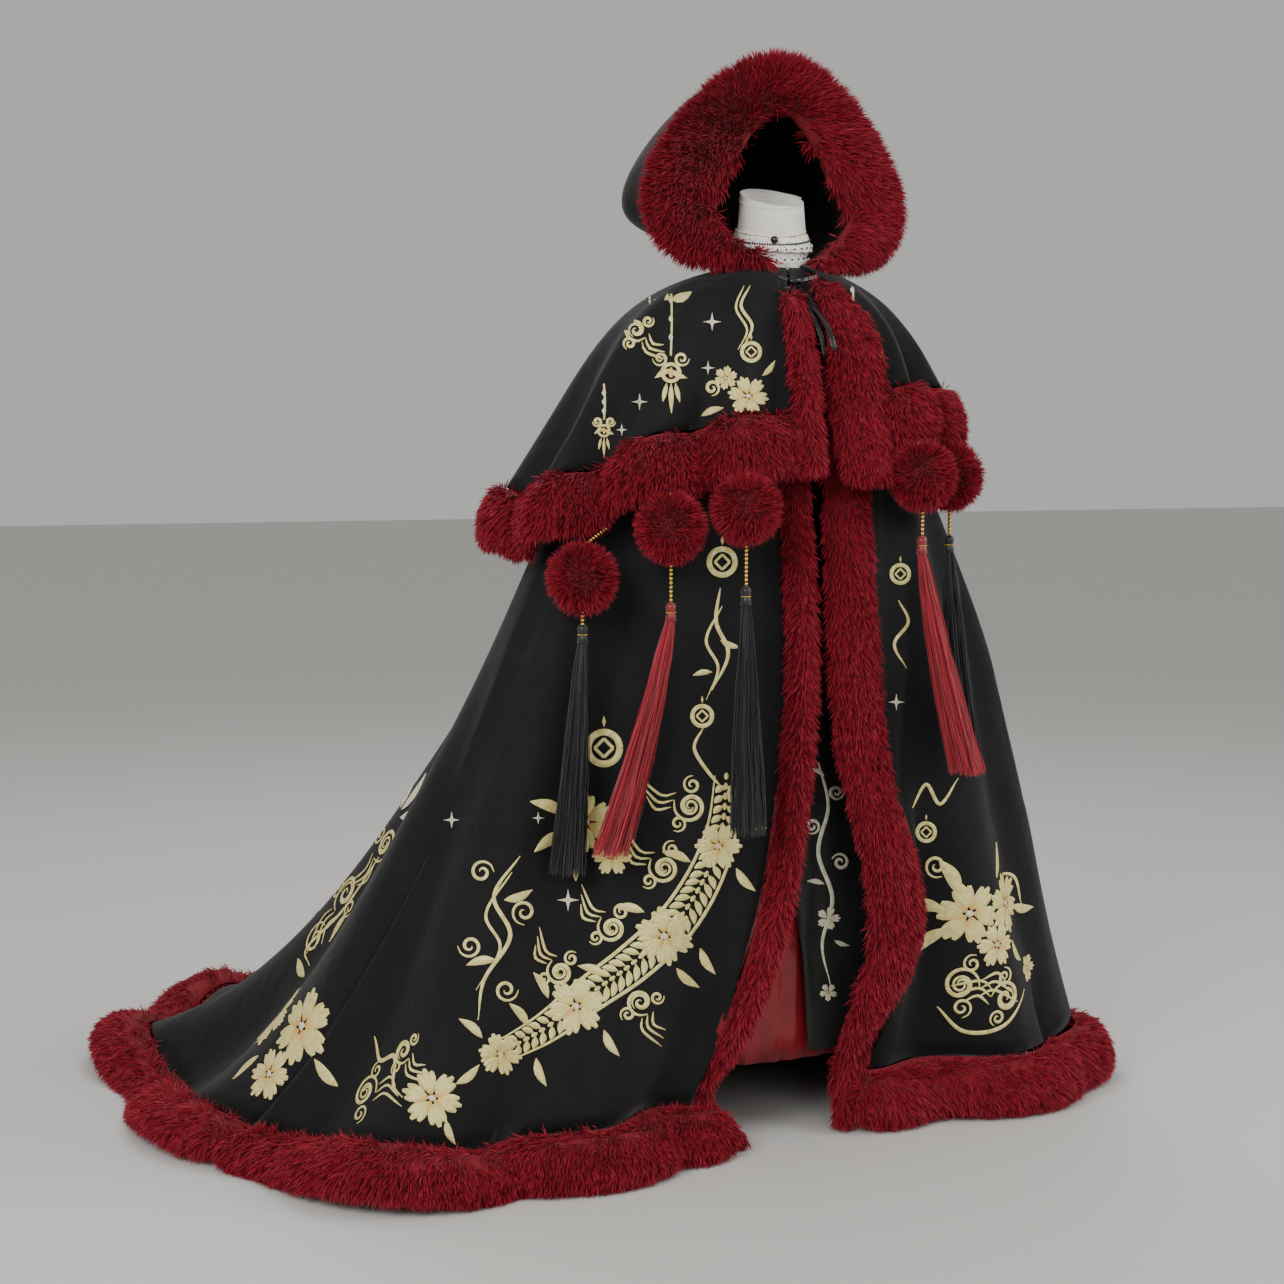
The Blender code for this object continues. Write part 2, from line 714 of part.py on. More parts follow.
def make_cloak(layer):
    """Four cloak panels with fur along both front edges and the whole hem."""
    leans = columns(CLOAK_HEM)[3]
    hem = [Vector(p) for p in layer["points"][:, -1]]
    turns = [360 * i / CLOAK_COLUMNS for i in range(CLOAK_COLUMNS + 1)]
    aways, outs = hem_frame(hem, [leans(turn) for turn in turns])
    roots = hem_roots(hem, aways, layer["normals"][:, -1])
    right_width, left_width, bulge = columns(CLOAK_FRONT_FUR)
    front_fur("cloak_fur_front_right", layer, 0, 1, aways[0], outs[0],
              lambda drop: (right_width(drop), bulge(drop)), FUR_WIDTH, 1)
    front_fur("cloak_fur_front_left", layer, CLOAK_COLUMNS, CLOAK_COLUMNS - 1, aways[-1], outs[-1],
              lambda drop: (left_width(drop), bulge(drop)), FUR_WIDTH, 1)
    for piece, first, last in CLOAK_CUTS:
        seams = (first > 0, last < CLOAK_COLUMNS)
        panel("cloak_" + piece, stretch(layer, first, last), "black_wool", seams)
        span = slice(first, last + 1)
        hem_fur("cloak_fur_hem_" + piece, hem[span], aways[span], outs[span], roots[span],
                FUR_WIDTH, FUR_BULGE, seams)


def make_cape(cloth):
    """Three cape panels, the fur hem in folds, the fur along the front edges, and what hangs on it."""
    layer = cape_layer()
    hem = [Vector(p) for p in layer["points"][:, -1]]
    aways, outs = hem_frame(hem, [CAPE_FUR_LEAN] * len(hem))
    roots = hem_roots(hem, aways, layer["normals"][:, -1])
    right_width, left_width, bulge = columns(CAPE_FRONT_FUR)
    front_fur("cape_fur_front_right", layer, 0, 1, aways[0], outs[0],
              lambda drop: (right_width(drop), bulge(drop)), CAPE_FUR_WIDTH, CAPE_FUR_START[0])
    front_fur("cape_fur_front_left", layer, CAPE_COLUMNS, CAPE_COLUMNS - 1, aways[-1], outs[-1],
              lambda drop: (left_width(drop), bulge(drop)), CAPE_FUR_LONG, CAPE_FUR_START[1])
    for piece, first, last in CAPE_CUTS:
        seams = (first > 0, last < CAPE_COLUMNS)
        panel("cape_" + piece, stretch(layer, first, last), "black_wool", seams)
        span = slice(first, last + 1)
        hem_fur("cape_fur_hem_" + piece, hem[span], aways[span], outs[span], roots[span],
                CAPE_FUR_WIDTH, CAPE_FUR_BULGE, seams)
    make_charms(hem, aways, outs, cloth)
    make_ties(layer)


def hood_arch(depth):
    """One arch of the hood's right half, from the ridge over the cheek to the neck."""
    ridge_y, ridge_z, cheek_x, cheek_y, cheek_z, neck_turn = [c(depth) for c in columns(HOOD_ARCHES)]
    turn = math.radians(neck_turn)
    neck = Vector((-NECK_WIDE * math.sin(turn), -NECK_DEEP * math.cos(turn), -HOOD_NECK_DROP))
    cheeks = [Vector((side * cheek_x, cheek_y, cheek_z)) for side in (1, -1)]
    path = Curve((-1, 0, 1, HOOD_NECK_KEY), (cheeks[0], Vector((0, ridge_y, ridge_z)), cheeks[1], neck))
    return resample([path(HOOD_NECK_KEY * k / FINE_STEPS) for k in range(FINE_STEPS + 1)], HOOD_ROWS)


def make_hood():
    """Two hood halves that meet along the ridge, and the broad fur round the face opening."""
    right = as_grid([hood_arch(i / HOOD_DEEP) for i in range(HOOD_DEEP + 1)])
    left = right * np.array((-1, 1, 1))
    whole = np.swapaxes(np.concatenate((right[:, ::-1], left[:, 1:]), axis=1), 0, 1)
    layer = layer_of(whole)
    panel("hood_right", stretch(layer, 0, HOOD_ROWS), "black_wool", side=-1)
    panel("hood_left", stretch(layer, HOOD_ROWS, 2 * HOOD_ROWS), "black_wool", side=1)
    inward, outward, bulges = columns(HOOD_FUR)
    rim = [Vector(p) for p in layer["points"][:, 0]]
    last = len(rim) - 1
    rings = []
    for i, point in enumerate(rim):
        share = i / last
        along = (rim[min(i + 1, last)] - rim[max(i - 1, 0)]).normalized()
        forward = Vector((0, -1, 0))
        forward = (forward - along * forward.dot(along)).normalized()
        outside = forward.cross(along)
        ring = []
        for across, high in HOOD_FUR_SECTION:
            half = outward(share) if across > 0 else inward(share)
            spot = point + outside * across * half + forward * (HOOD_FUR_GAP + high * bulges(share))
            spot.z = max(spot.z, HOOD_FUR_LOWEST)
            ring.append(spot)
        rings.append(ring)
    loft("hood_fur", rings, "crimson_fur")


def tube(name, rings, material):
    """A thin walled tube open at both ends, through rings of outer points."""
    panel(name, layer_of(np.swapaxes(np.array(rings), 0, 1), wrap=True), material, wrap=True)


def oval(centre, across, deep, count, level=None):
    """A ring of points round a centre; level gives the height of each point over its angle."""
    ring = []
    for k in range(count):
        angle = math.tau * k / count
        lift = level(angle) if level else 0
        ring.append((centre[0] - across * math.sin(angle), centre[1] - deep * math.cos(angle),
                     centre[2] + lift))
    return ring


def make_robe():
    """The inner robe's two fronts, two backs and sleeves, and the underskirt."""
    layer = plain_layer(ROBE_BODY, ROBE_EDGES, ROBE_COLUMNS, ROBE_ROWS, ROBE_WAVE_DEPTH)
    for piece, first, last in ROBE_CUTS:
        part = stretch(layer, first, last)
        part["points"] = part["points"].copy()
        seams = (first > 0, last < ROBE_COLUMNS)
        for end, beside, column in ((0, 1, first), (-1, -2, last)):
            if column in ROBE_SIDE_SEAMS:
                side = part["points"][end, ARMHOLE_ROW]
                side += (part["points"][beside, ARMHOLE_ROW] - side) * ARMHOLE_WIDE
        panel("robe_" + piece, part, "robe_silk", seams)
    skirt = columns(SKIRT_BODY)
    waist = SKIRT_BODY[0][0]
    drops = [waist + (SKIRT_BODY[-1][0] - waist) * k / SKIRT_ROWS for k in range(SKIRT_ROWS + 1)]
    robe_back = layer["points"][ROBE_COLUMNS // 2]
    waist_back = float(np.interp(waist, -robe_back[:, 2], robe_back[:, 1])) - WALL - SEAM * 2
    rings = []
    for drop in drops:
        right, left, front, back = [curve(drop) for curve in skirt]
        if drop == waist:
            back = waist_back
        fold = SKIRT_FOLD_DEPTH * (drop - waist)
        ring = []
        for k in range(SKIRT_COLUMNS):
            angle = math.tau * k / SKIRT_COLUMNS
            swell = 1 + fold * math.cos(SKIRT_FOLDS * angle)
            wide = right if math.sin(angle) > 0 else left
            deep = front if math.cos(angle) > 0 else back
            ring.append((-wide * swell * math.sin(angle), -deep * swell * math.cos(angle), -drop))
        rings.append(ring)
    tube("underskirt", rings, "red_satin")
    tree = tree_of(layer)
    for side, name in ((-1, "sleeve_right"), (1, "sleeve_left")):
        rings = [oval((side * x, y, -drop), across, deep, SLEEVE_SIDES)
                 for drop, x, y, across, deep in SLEEVE]
        for _ in range(HOLD_STEPS):
            gap = min(tree.find_nearest(Vector(point))[3] for point in rings[0])
            shift = side * (gap - SEAM * 2)
            rings = [[(x - shift, y, z) for x, y, z in ring] for ring in rings]
        tube(name, rings, "robe_silk")


def make_collar():
    """The stand collar, and the lace that flares from it in scallops."""
    rings = []
    for share in COLLAR_STEPS:
        across = NECK_WIDE - COLLAR_INSIDE - COLLAR_TAPER[0] * (1 - share)
        deep = NECK_DEEP - COLLAR_INSIDE - COLLAR_TAPER[1] * (1 - share)

        def height(angle, s=share):
            return COLLAR_FOOT + (1 - s) * (COLLAR_RISE - COLLAR_DIP * math.cos(angle))
        rings.append(oval((0, 0, 0), across, deep, COLLAR_COLUMNS, height))
    tube("stand_collar", rings, "white_cloth")
    rings = []
    for share in (0, 0.5, 1):
        flare = WALL + SEAM * 2 + LACE_FLARE * share - COLLAR_INSIDE

        def level(angle, s=share):
            rise = LACE_TOP[0] + LACE_TOP[1] * (1 - math.cos(angle)) / 2
            scallop = LACE_SCALLOP * abs(math.sin(angle * LACE_SCALLOPS / 2)) * s ** 2
            return rise - LACE_LONG * s - scallop
        rings.append(oval((0, 0, 0), NECK_WIDE - COLLAR_TAPER[0] * LACE_ON_TAPER + flare,
                          NECK_DEEP - COLLAR_TAPER[1] * LACE_ON_TAPER + flare, LACE_SCALLOPS * 2, level))
    tube("collar_lace", rings, "white_cloth")


def ribbon(name, points, across, narrow=1):
    """A flat ribbon along points, RIBBON_THICK thick, as wide as across but narrow at its start."""
    rings = []
    for i, point in enumerate(points):
        along = (points[min(i + 1, len(points) - 1)] - points[max(i - 1, 0)]).normalized()
        thick = along.cross(across).normalized() * RIBBON_THICK / 2
        wide = across / 2 * min(1, narrow + (1 - narrow) * i / 2)
        low = point - thick
        high = point + thick
        rings.append([low - wide, low + wide, high + wide, high - wide])
    loft(name, rings, "black_ribbon")


def make_ties(layer):
    """The ribbon that ties the cape at the neck: two straps, a knot, two loops and two tails."""
    knot = Vector(KNOT)
    rings = []
    for share, size in KNOT_SHAPE:
        centre = knot + Vector((KNOT_HALF * share, 0, 0))
        ring = []
        for k in range(KNOT_SIDES):
            angle = math.tau * k / KNOT_SIDES
            deep = KNOT_DEEP * size * math.cos(angle)
            ring.append(centre + Vector((0, deep, KNOT_HIGH * size * math.sin(angle))))
        rings.append(ring)
    loft("ribbon_knot", rings, "black_ribbon")
    for name, column, beside, side in (("right", 0, 1, -1), ("left", CAPE_COLUMNS, CAPE_COLUMNS - 1, 1)):
        edge, aways, outs = edge_frame(layer, column, beside)
        start = edge[1] + aways[1] * SEAM * 2 - outs[1] * WALL / 2
        stop = knot + Vector((side * (KNOT_HALF + SEAM), 0, 0))
        points = [start.lerp(stop, k / 4) for k in range(5)]
        ribbon("ribbon_strap_" + name, points, Vector((0, 0, STRAP_WIDE)))
    for name, side, sideways, ahead, fall in RIBBONS:
        start = knot + Vector((side, 0, -KNOT_HIGH - SEAM * 3))
        points = []
        for k in range(RIBBON_STEPS + 1):
            f = k / RIBBON_STEPS
            forward = -ahead * math.sin(f * math.pi / 2)
            points.append(start + Vector((sideways * f ** 0.8, forward, -fall * f)))
        ribbon(name, points, Vector((RIBBON_WIDE, 0, 0)), RIBBON_START)


def turned(centre, profile, count):
    """Rings round a vertical line, from a profile of heights and radii."""
    return [[centre + Vector((r * math.cos(math.tau * k / count), r * math.sin(math.tau * k / count), z))
             for k in range(count)] for z, r in profile]


def bead_string(name, top, foot):
    """A string of beads between two points, wide at each bead and narrow between them."""
    beads = max(1, round((top.z - foot.z) / BEAD_PITCH))
    rings = []
    for k in range(2 * beads + 1):
        radius = BEAD_RADIUS if k % 2 else THREAD_RADIUS
        rings += turned(top.lerp(foot, k / (2 * beads)), [(0, radius)], BEAD_SIDES)
    loft(name, rings, "gold_bead")


def tassel(name, top, swing, material, cloth):
    """A turned head with three sided strands drawn down out of its flat underside, off the cloth."""
    bm = bmesh.new()
    sides = TASSEL_SIDES
    loops = skin(bm, turned(top, TASSEL_HEAD, sides))
    bm.faces.new(loops[0])
    foot = top.z + TASSEL_HEAD[-1][0]
    underside = Vector((top.x, top.y, foot))
    middle = bm.verts.new(underside)
    inner = [bm.verts.new(point) for point in turned(underside, [(0, TASSEL_INNER)], sides)[0]]
    roots = []
    for k in range(sides):
        after = (k + 1) % sides
        roots.append(bm.faces.new((middle, inner[k], inner[after])))
        roots.append(bm.faces.new((inner[k], loops[-1][k], loops[-1][after])))
        roots.append(bm.faces.new((inner[k], loops[-1][after], inner[after])))
    axis = Vector((top.x, top.y, 0))
    drifts = []
    for share in TASSEL_STEPS:
        middle_now = Vector((top.x + swing[0] * share ** 1.3, top.y + swing[1] * share ** 1.3,
                             foot - TASSEL_LENGTH * share))
        reach = TASSEL_HEAD[-1][1] * (1 + TASSEL_SPREAD * share ** 0.7) + TASSEL_CLEAR * share
        clear = held_off(cloth, middle_now, reach)
        drifts.append(Vector((clear.x, clear.y, 0)) - axis)
    for number, root in enumerate(roots):
        corners = [vert.co.copy() for vert in root.verts]
        centre = sum(corners, Vector()) / 3
        old = list(root.verts)
        bm.faces.remove(root)
        length = TASSEL_LENGTH * (1 + TASSEL_UNEVEN * math.sin(2.4 * number))
        for share, drift in zip(TASSEL_STEPS, drifts):
            spread = 1 + TASSEL_SPREAD * share ** 0.7
            new = []
            for corner in corners:
                at = centre + (corner - centre) * TASSEL_STRAND_SHARE
                at = axis + (Vector((at.x, at.y, 0)) - axis) * spread + drift
                new.append(bm.verts.new((at.x, at.y, foot - length * share - SEAM)))
            for k in range(3):
                bm.faces.new((old[k], old[(k + 1) % 3], new[(k + 1) % 3], new[k]))
            old = new
        bm.faces.new(old)
    return finish(name, bm, material)


def make_charms(hem, aways, outs, cloth):
    """Pompoms on bead strings along the cape's hem, each with a bead string and a tassel below."""
    for name, column, above, below, beside, swing, thread in CHARMS:
        ring = fur_ring(hem[column], aways[column], outs[column], CAPE_FUR_WIDTH, CAPE_FUR_BULGE)
        top = min(ring, key=lambda point: point.z) - UP * (SEAM * 2)
        centre = top + Vector((*beside, -above - POMPOM_RADIUS - SEAM))
        centre = held_off(cloth, centre, POMPOM_RADIUS + POMPOM_CLEAR)
        bead_string("bead_string_upper_" + name, top, centre + UP * (POMPOM_RADIUS + SEAM))
        profile = []
        for k in range(POMPOM_RINGS + 1):
            angle = math.pi * k / POMPOM_RINGS
            radius = max(POMPOM_POLE, POMPOM_RADIUS * math.sin(angle))
            profile.append((POMPOM_RADIUS * math.cos(angle), radius))
        rings = turned(centre, profile, POMPOM_SIDES)
        for i, ring_points in enumerate(rings[1:-1]):
            for k, point in enumerate(ring_points):
                lump = POMPOM_LUMP * math.sin(2.1 * k + 1.7 * i)
                ring_points[k] = point + (point - centre) * lump
        loft("pompom_" + name, rings, "crimson_fur")
        low = centre - UP * (POMPOM_RADIUS + SEAM)
        head = held_off(cloth, low - UP * below, TASSEL_HEAD[-1][1] + POMPOM_CLEAR)
        bead_string("bead_string_lower_" + name, low, head)
        tassel("tassel_" + name, head - UP * SEAM, swing, thread, cloth)


def clear_scene():
    """Start from a scene with no objects."""
    for old in list(bpy.data.objects):
        bpy.data.objects.remove(old)


def make_materials():
    """One Principled material for each finish."""
    made = {}
    for name, colour, roughness, metallic in FINISHES:
        material = bpy.data.materials.new(name)
        material.use_nodes = True
        shader = material.node_tree.nodes["Principled BSDF"]
        shader.inputs["Base Color"].default_value = (*colour, 1)
        shader.inputs["Roughness"].default_value = roughness
        shader.inputs["Metallic"].default_value = metallic
        made[name] = material
    return made


clear_scene()
MATERIALS = make_materials()
COLLECTION = bpy.data.collections.new("hanfu_set")
bpy.context.scene.collection.children.link(COLLECTION)
CLOAK = cloak_layer()
make_cloak(CLOAK)
make_cape(tree_of(CLOAK))
make_hood()
make_robe()
make_collar()
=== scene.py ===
# %% [markdown]
# # A hooded hanfu set, dressed
# The set is a train cloak, a shoulder cape and a hood edged in deep fur, worn over a robe and an
# underskirt. The frame holds plain solids of every cut piece. This lesson turns each one into cloth,
# fur, thread, lace or beads, and leaves every piece where the frame has it.

import json
import math

import bmesh
import bpy
import numpy as np
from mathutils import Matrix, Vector
from mathutils.bvhtree import BVHTree

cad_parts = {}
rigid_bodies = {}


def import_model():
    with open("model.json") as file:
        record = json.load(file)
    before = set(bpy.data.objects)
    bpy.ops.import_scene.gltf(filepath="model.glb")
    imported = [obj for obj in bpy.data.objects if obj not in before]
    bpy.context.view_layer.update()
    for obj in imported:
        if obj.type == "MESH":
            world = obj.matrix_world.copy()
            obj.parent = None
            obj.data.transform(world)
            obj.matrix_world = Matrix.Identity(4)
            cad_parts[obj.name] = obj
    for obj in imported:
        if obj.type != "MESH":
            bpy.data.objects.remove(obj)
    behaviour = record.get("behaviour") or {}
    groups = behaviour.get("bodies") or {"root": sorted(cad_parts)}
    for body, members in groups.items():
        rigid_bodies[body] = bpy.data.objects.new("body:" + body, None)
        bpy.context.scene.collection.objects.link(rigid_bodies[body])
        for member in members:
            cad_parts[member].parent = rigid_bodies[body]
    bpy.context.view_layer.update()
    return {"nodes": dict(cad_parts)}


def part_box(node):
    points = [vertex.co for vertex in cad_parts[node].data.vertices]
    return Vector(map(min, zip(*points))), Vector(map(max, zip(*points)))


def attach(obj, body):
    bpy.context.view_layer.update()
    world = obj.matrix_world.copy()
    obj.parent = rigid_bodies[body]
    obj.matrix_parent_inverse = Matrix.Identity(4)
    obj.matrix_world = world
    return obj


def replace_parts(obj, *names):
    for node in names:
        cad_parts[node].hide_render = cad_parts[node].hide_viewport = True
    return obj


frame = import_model()
solids = frame["nodes"]
FLOOR_HEIGHT = -1.50

# %% [markdown]
# ## The camera
# The view is from the wearer's right, a little above the waist. The focal length is kept in pixels
# of the square picture, so that a spot in the picture can be followed back to the cloth.

# %% Place the camera
PICTURE_SIDE = 1284
FOCAL_PIXELS = 2288
camera_data = bpy.data.cameras.new("studio_camera")
camera_data.sensor_width = 36
camera_data.lens = 36 * FOCAL_PIXELS / PICTURE_SIDE
camera = bpy.data.objects.new("studio_camera", camera_data)
camera.location = (-1.893, -3.530, -0.300)
camera.rotation_euler = (math.radians(85), 0, math.radians(-25))
bpy.context.scene.collection.objects.link(camera)
bpy.context.scene.camera = camera
camera_turn = camera.rotation_euler.to_matrix()
print("lens", round(camera_data.lens, 1), "mm")

# %% [markdown]
# ## Floor and light
# A plain pale floor and soft light from large lamps. Black wool shows its folds only where a broad
# lamp grazes it, so one lamp stands far to each side.

# %% Lay the floor and hang the lamps
FLOOR_REACH = 30
FLOOR_GAP = 0.001
LAMP_AIM = Vector((-0.1, 0.2, -0.6))
floor_corners = [(x * FLOOR_REACH, y * FLOOR_REACH, FLOOR_HEIGHT - FLOOR_GAP)
                 for x, y in ((-1, -1), (1, -1), (1, 1), (-1, 1))]
floor_mesh = bpy.data.meshes.new("studio_floor")
floor_mesh.from_pydata(floor_corners, [], [(0, 1, 2, 3)])
floor = bpy.data.objects.new("studio_floor", floor_mesh)
bpy.context.scene.collection.objects.link(floor)

for lamp_name, place, size, power in (
        ("lamp_right", (-3.6, -2.6, 1.6), 2.4, 150),
        ("lamp_left", (3.4, -2.2, 1.2), 2.4, 95),
        ("lamp_back", (0.6, 3.0, 2.6), 2.2, 60),
        ("lamp_front", (-0.6, -4.6, 1.0), 2.2, 42)):
    lamp_data = bpy.data.lights.new(lamp_name, "AREA")
    lamp_data.size = size
    lamp_data.energy = power
    lamp = bpy.data.objects.new(lamp_name, lamp_data)
    lamp.location = place
    lamp.rotation_euler = (LAMP_AIM - Vector(place)).to_track_quat("-Z", "Y").to_euler()
    bpy.context.scene.collection.objects.link(lamp)
    print(lamp_name, "power", power, "W")

sky = bpy.data.worlds.new("studio_sky")
sky.use_nodes = True
bpy.context.scene.world = sky

# %% [markdown]
# ## Colours and nodes
# Colours are written as the hex codes of a paint chart and turned to linear light by one function.
# One more function adds a shader node with its settings and links.

# %% Colour and node helpers
def from_hex(code):
    """A linear colour from an sRGB hex code."""
    parts = [int(code[i:i + 2], 16) / 255 for i in (1, 3, 5)]
    return (*[v / 12.92 if v <= 0.04045 else ((v + 0.055) / 1.055) ** 2.4 for v in parts], 1)


def add_node(finish, kind, settings=None, inputs=None):
    """A new node; an input that is a socket is linked, and any other value is set."""
    node = finish.node_tree.nodes.new(kind)
    for key, value in (settings or {}).items():
        setattr(node, key, value)
    for key, value in (inputs or {}).items():
        if isinstance(value, bpy.types.NodeSocket):
            finish.node_tree.links.new(value, node.inputs[key])
        else:
            node.inputs[key].default_value = value
    return node


def new_finish(name, sockets):
    """A material and its Principled shader, with constants on the shader's own sockets."""
    finish = bpy.data.materials.new(name)
    finish.use_nodes = True
    shader = finish.node_tree.nodes["Principled BSDF"]
    for key, value in sockets.items():
        shader.inputs[key].default_value = value
    return finish, shader


def per_metre(millimetres):
    """A noise or cell texture's scale for a pattern of this real size."""
    return 1000 / millimetres


def bands(millimetres):
    """A wave texture's scale for bands this far apart: it turns 20 radians in each unit."""
    return math.tau * 1000 / millimetres / 20


def shade(finish, ramp_stops, factor):
    """A colour ramp over a factor socket."""
    ramp = add_node(finish, "ShaderNodeValToRGB", inputs={"Fac": factor})
    elements = ramp.color_ramp.elements
    elements[0].position, elements[0].color = ramp_stops[0][0], from_hex(ramp_stops[0][1])
    elements[1].position, elements[1].color = ramp_stops[-1][0], from_hex(ramp_stops[-1][1])
    for spot, code in ramp_stops[1:-1]:
        elements.new(spot).color = from_hex(code)
    return ramp.outputs["Color"]


sky.node_tree.nodes["Background"].inputs["Color"].default_value = from_hex("#e9e8e6")
sky.node_tree.nodes["Background"].inputs["Strength"].default_value = 0.60
floor_paint, floor_shader = new_finish("studio_paint", {"Roughness": 0.6})
floor_shader.inputs["Base Color"].default_value = from_hex("#cfcdc9")
floor_mesh.materials.append(floor_paint)

# %% [markdown]
# ## Woven cloths
# Fulled wool is matt, with a short nap that lights up where it is seen edge on: a sheen does that.
# Silk and satin are smoother, with highlights that run along the folds. An image of real cloth could
# be laid on each panel, but every panel would need a flat map. Noise and waves in space need none, and
# each takes its scale from a size in millimetres. The thread spacing is drawn a little coarser than
# real, because a true thread is thinner than a pixel here.

# %% Wool, silk, satin and cotton
BLOTCH_MM = 90
CREASE_DEPTH = 0.012


def woven(name, dark, light, sockets, thread_mm, bump, crease_mm=60, crease=0.0, nap_share=0.5):
    """A woven cloth: threads under a nap, a soft blotch of colour, and shallow creases."""
    finish, shader = new_finish(name, sockets)
    place = add_node(finish, "ShaderNodeTexCoord").outputs["Object"]
    blotch = add_node(finish, "ShaderNodeTexNoise", inputs={
        "Vector": place, "Scale": per_metre(BLOTCH_MM), "Detail": 4.0, "Roughness": 0.6})
    colour = shade(finish, ((0.3, dark), (0.7, light)), blotch.outputs["Fac"])
    finish.node_tree.links.new(colour, shader.inputs["Base Color"])
    warp = add_node(finish, "ShaderNodeTexWave", {"bands_direction": "Z"}, {
        "Vector": place, "Scale": bands(thread_mm), "Distortion": 1.2, "Detail": 2.0})
    nap = add_node(finish, "ShaderNodeTexNoise", inputs={
        "Vector": place, "Scale": per_metre(thread_mm * 1.6), "Detail": 3.0})
    weave = add_node(finish, "ShaderNodeMix", {"data_type": "FLOAT"}, {
        0: nap_share, 2: warp.outputs["Fac"], 3: nap.outputs["Fac"]})
    threads = add_node(finish, "ShaderNodeBump", inputs={
        "Height": weave.outputs[0], "Strength": bump, "Distance": thread_mm / 1000})
    normal = threads.outputs["Normal"]
    if crease:
        soft = add_node(finish, "ShaderNodeTexNoise", inputs={
            "Vector": place, "Scale": per_metre(crease_mm), "Detail": 2.0, "Distortion": 0.6})
        creases = add_node(finish, "ShaderNodeBump", inputs={
            "Height": soft.outputs["Fac"], "Strength": crease, "Distance": CREASE_DEPTH,
            "Normal": normal})
        normal = creases.outputs["Normal"]
    finish.node_tree.links.new(normal, shader.inputs["Normal"])
    return finish


# Fulled wool, milled until the weave closes: matt black with a soft, felted nap and no clear thread.
black_wool = woven("fulled_black_wool", "#070708", "#101012", {
    "Roughness": 0.80, "Sheen Weight": 0.10, "Sheen Roughness": 0.40, "Specular IOR Level": 0.28},
    3.0, 0.30, 70, 0.35, nap_share=0.92)
# Plain woven silk: a dim, even shine on a very dark grey green.
robe_silk = woven("dark_robe_silk", "#101312", "#1d2220", {
    "Roughness": 0.5, "Sheen Weight": 0.10, "Specular IOR Level": 0.40}, 3.0, 0.25, 60, 0.25)
# Satin, woven with long floats: long highlights that run with the folds.
red_satin = woven("red_satin", "#6c0c15", "#9c1824", {
    "Roughness": 0.32, "Anisotropic": 0.4, "Sheen Weight": 0.08, "Specular IOR Level": 0.55},
    2.4, 0.10, 50, 0.45)
# Starched cotton, plain woven: white and matt, with a faint grain.
white_cotton = woven("white_cotton", "#dcd9d2", "#f3f1eb", {
    "Roughness": 0.7, "Sheen Weight": 0.2}, 2.4, 0.35, 40, 0.2)
# Satin ribbon, woven narrow: black, and the shiniest cloth of the set.
ribbon_satin = woven("black_ribbon_satin", "#09090b", "#151519", {
    "Roughness": 0.26, "Anisotropic": 0.5, "Specular IOR Level": 0.6}, 2.0, 0.10, 30, 0.3)
print("cloths", [m.name for m in (black_wool, robe_silk, red_satin, white_cotton, ribbon_satin)])

# %% [markdown]
# ## From a solid to a length of cloth
# A sewn panel is smooth across its width and firm at its cut edges. A cloth simulation could drape it
# anew, but the frame's panels already hang in this set's own folds, so those are kept and made finer.
# The frame's panel is copied, its triangles are paired back to squares, its edges are creased, and a
# subdivision surface rounds the folds. Small extra ripples run down the cloth, level outward, so that
# both sides of the panel move together and the cloth keeps its thickness.

# %% Cloth from a solid
SHARP = math.radians(50)
WELD = 2e-5
RIPPLE_START = 0.10
RIPPLE_GROWTH = 0.8


def link(name, mesh, finish):
    """A new object that rides on the set, with one finish."""
    mesh.materials.clear()
    mesh.materials.append(finish)
    obj = bpy.data.objects.new(name, mesh)
    bpy.context.scene.collection.objects.link(obj)
    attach(obj, "root")
    return obj


def rounded(node, levels, firm_edges=True):
    """The mesh of a frame solid with its squares restored, its edges kept firm, and smoothed."""
    bm = bmesh.new()
    bm.from_mesh(solids[node].data)
    bmesh.ops.remove_doubles(bm, verts=bm.verts, dist=WELD)
    bmesh.ops.join_triangles(bm, faces=bm.faces, angle_face_threshold=math.pi,
                             angle_shape_threshold=math.pi)
    if firm_edges:
        crease = bm.edges.layers.float.new("crease_edge")
        for edge in bm.edges:
            if len(edge.link_faces) == 2 and edge.calc_face_angle(0) > SHARP:
                edge[crease] = 1.0
    mesh = bpy.data.meshes.new(node + "_cloth")
    bm.to_mesh(mesh)
    bm.free()
    carrier = bpy.data.objects.new(node + "_carrier", mesh)
    bpy.context.scene.collection.objects.link(carrier)
    carrier.modifiers.new("round", "SUBSURF").levels = levels
    shown = carrier.evaluated_get(bpy.context.evaluated_depsgraph_get())
    smooth = bpy.data.meshes.new_from_object(shown)
    bpy.data.objects.remove(carrier)
    smooth.shade_smooth()
    smooth.set_sharp_from_angle(angle=SHARP)
    return smooth


def mesh_points(mesh):
    """The points of a mesh as an array."""
    flat = np.empty(len(mesh.vertices) * 3)
    mesh.vertices.foreach_get("co", flat)
    return flat.reshape(-1, 3)


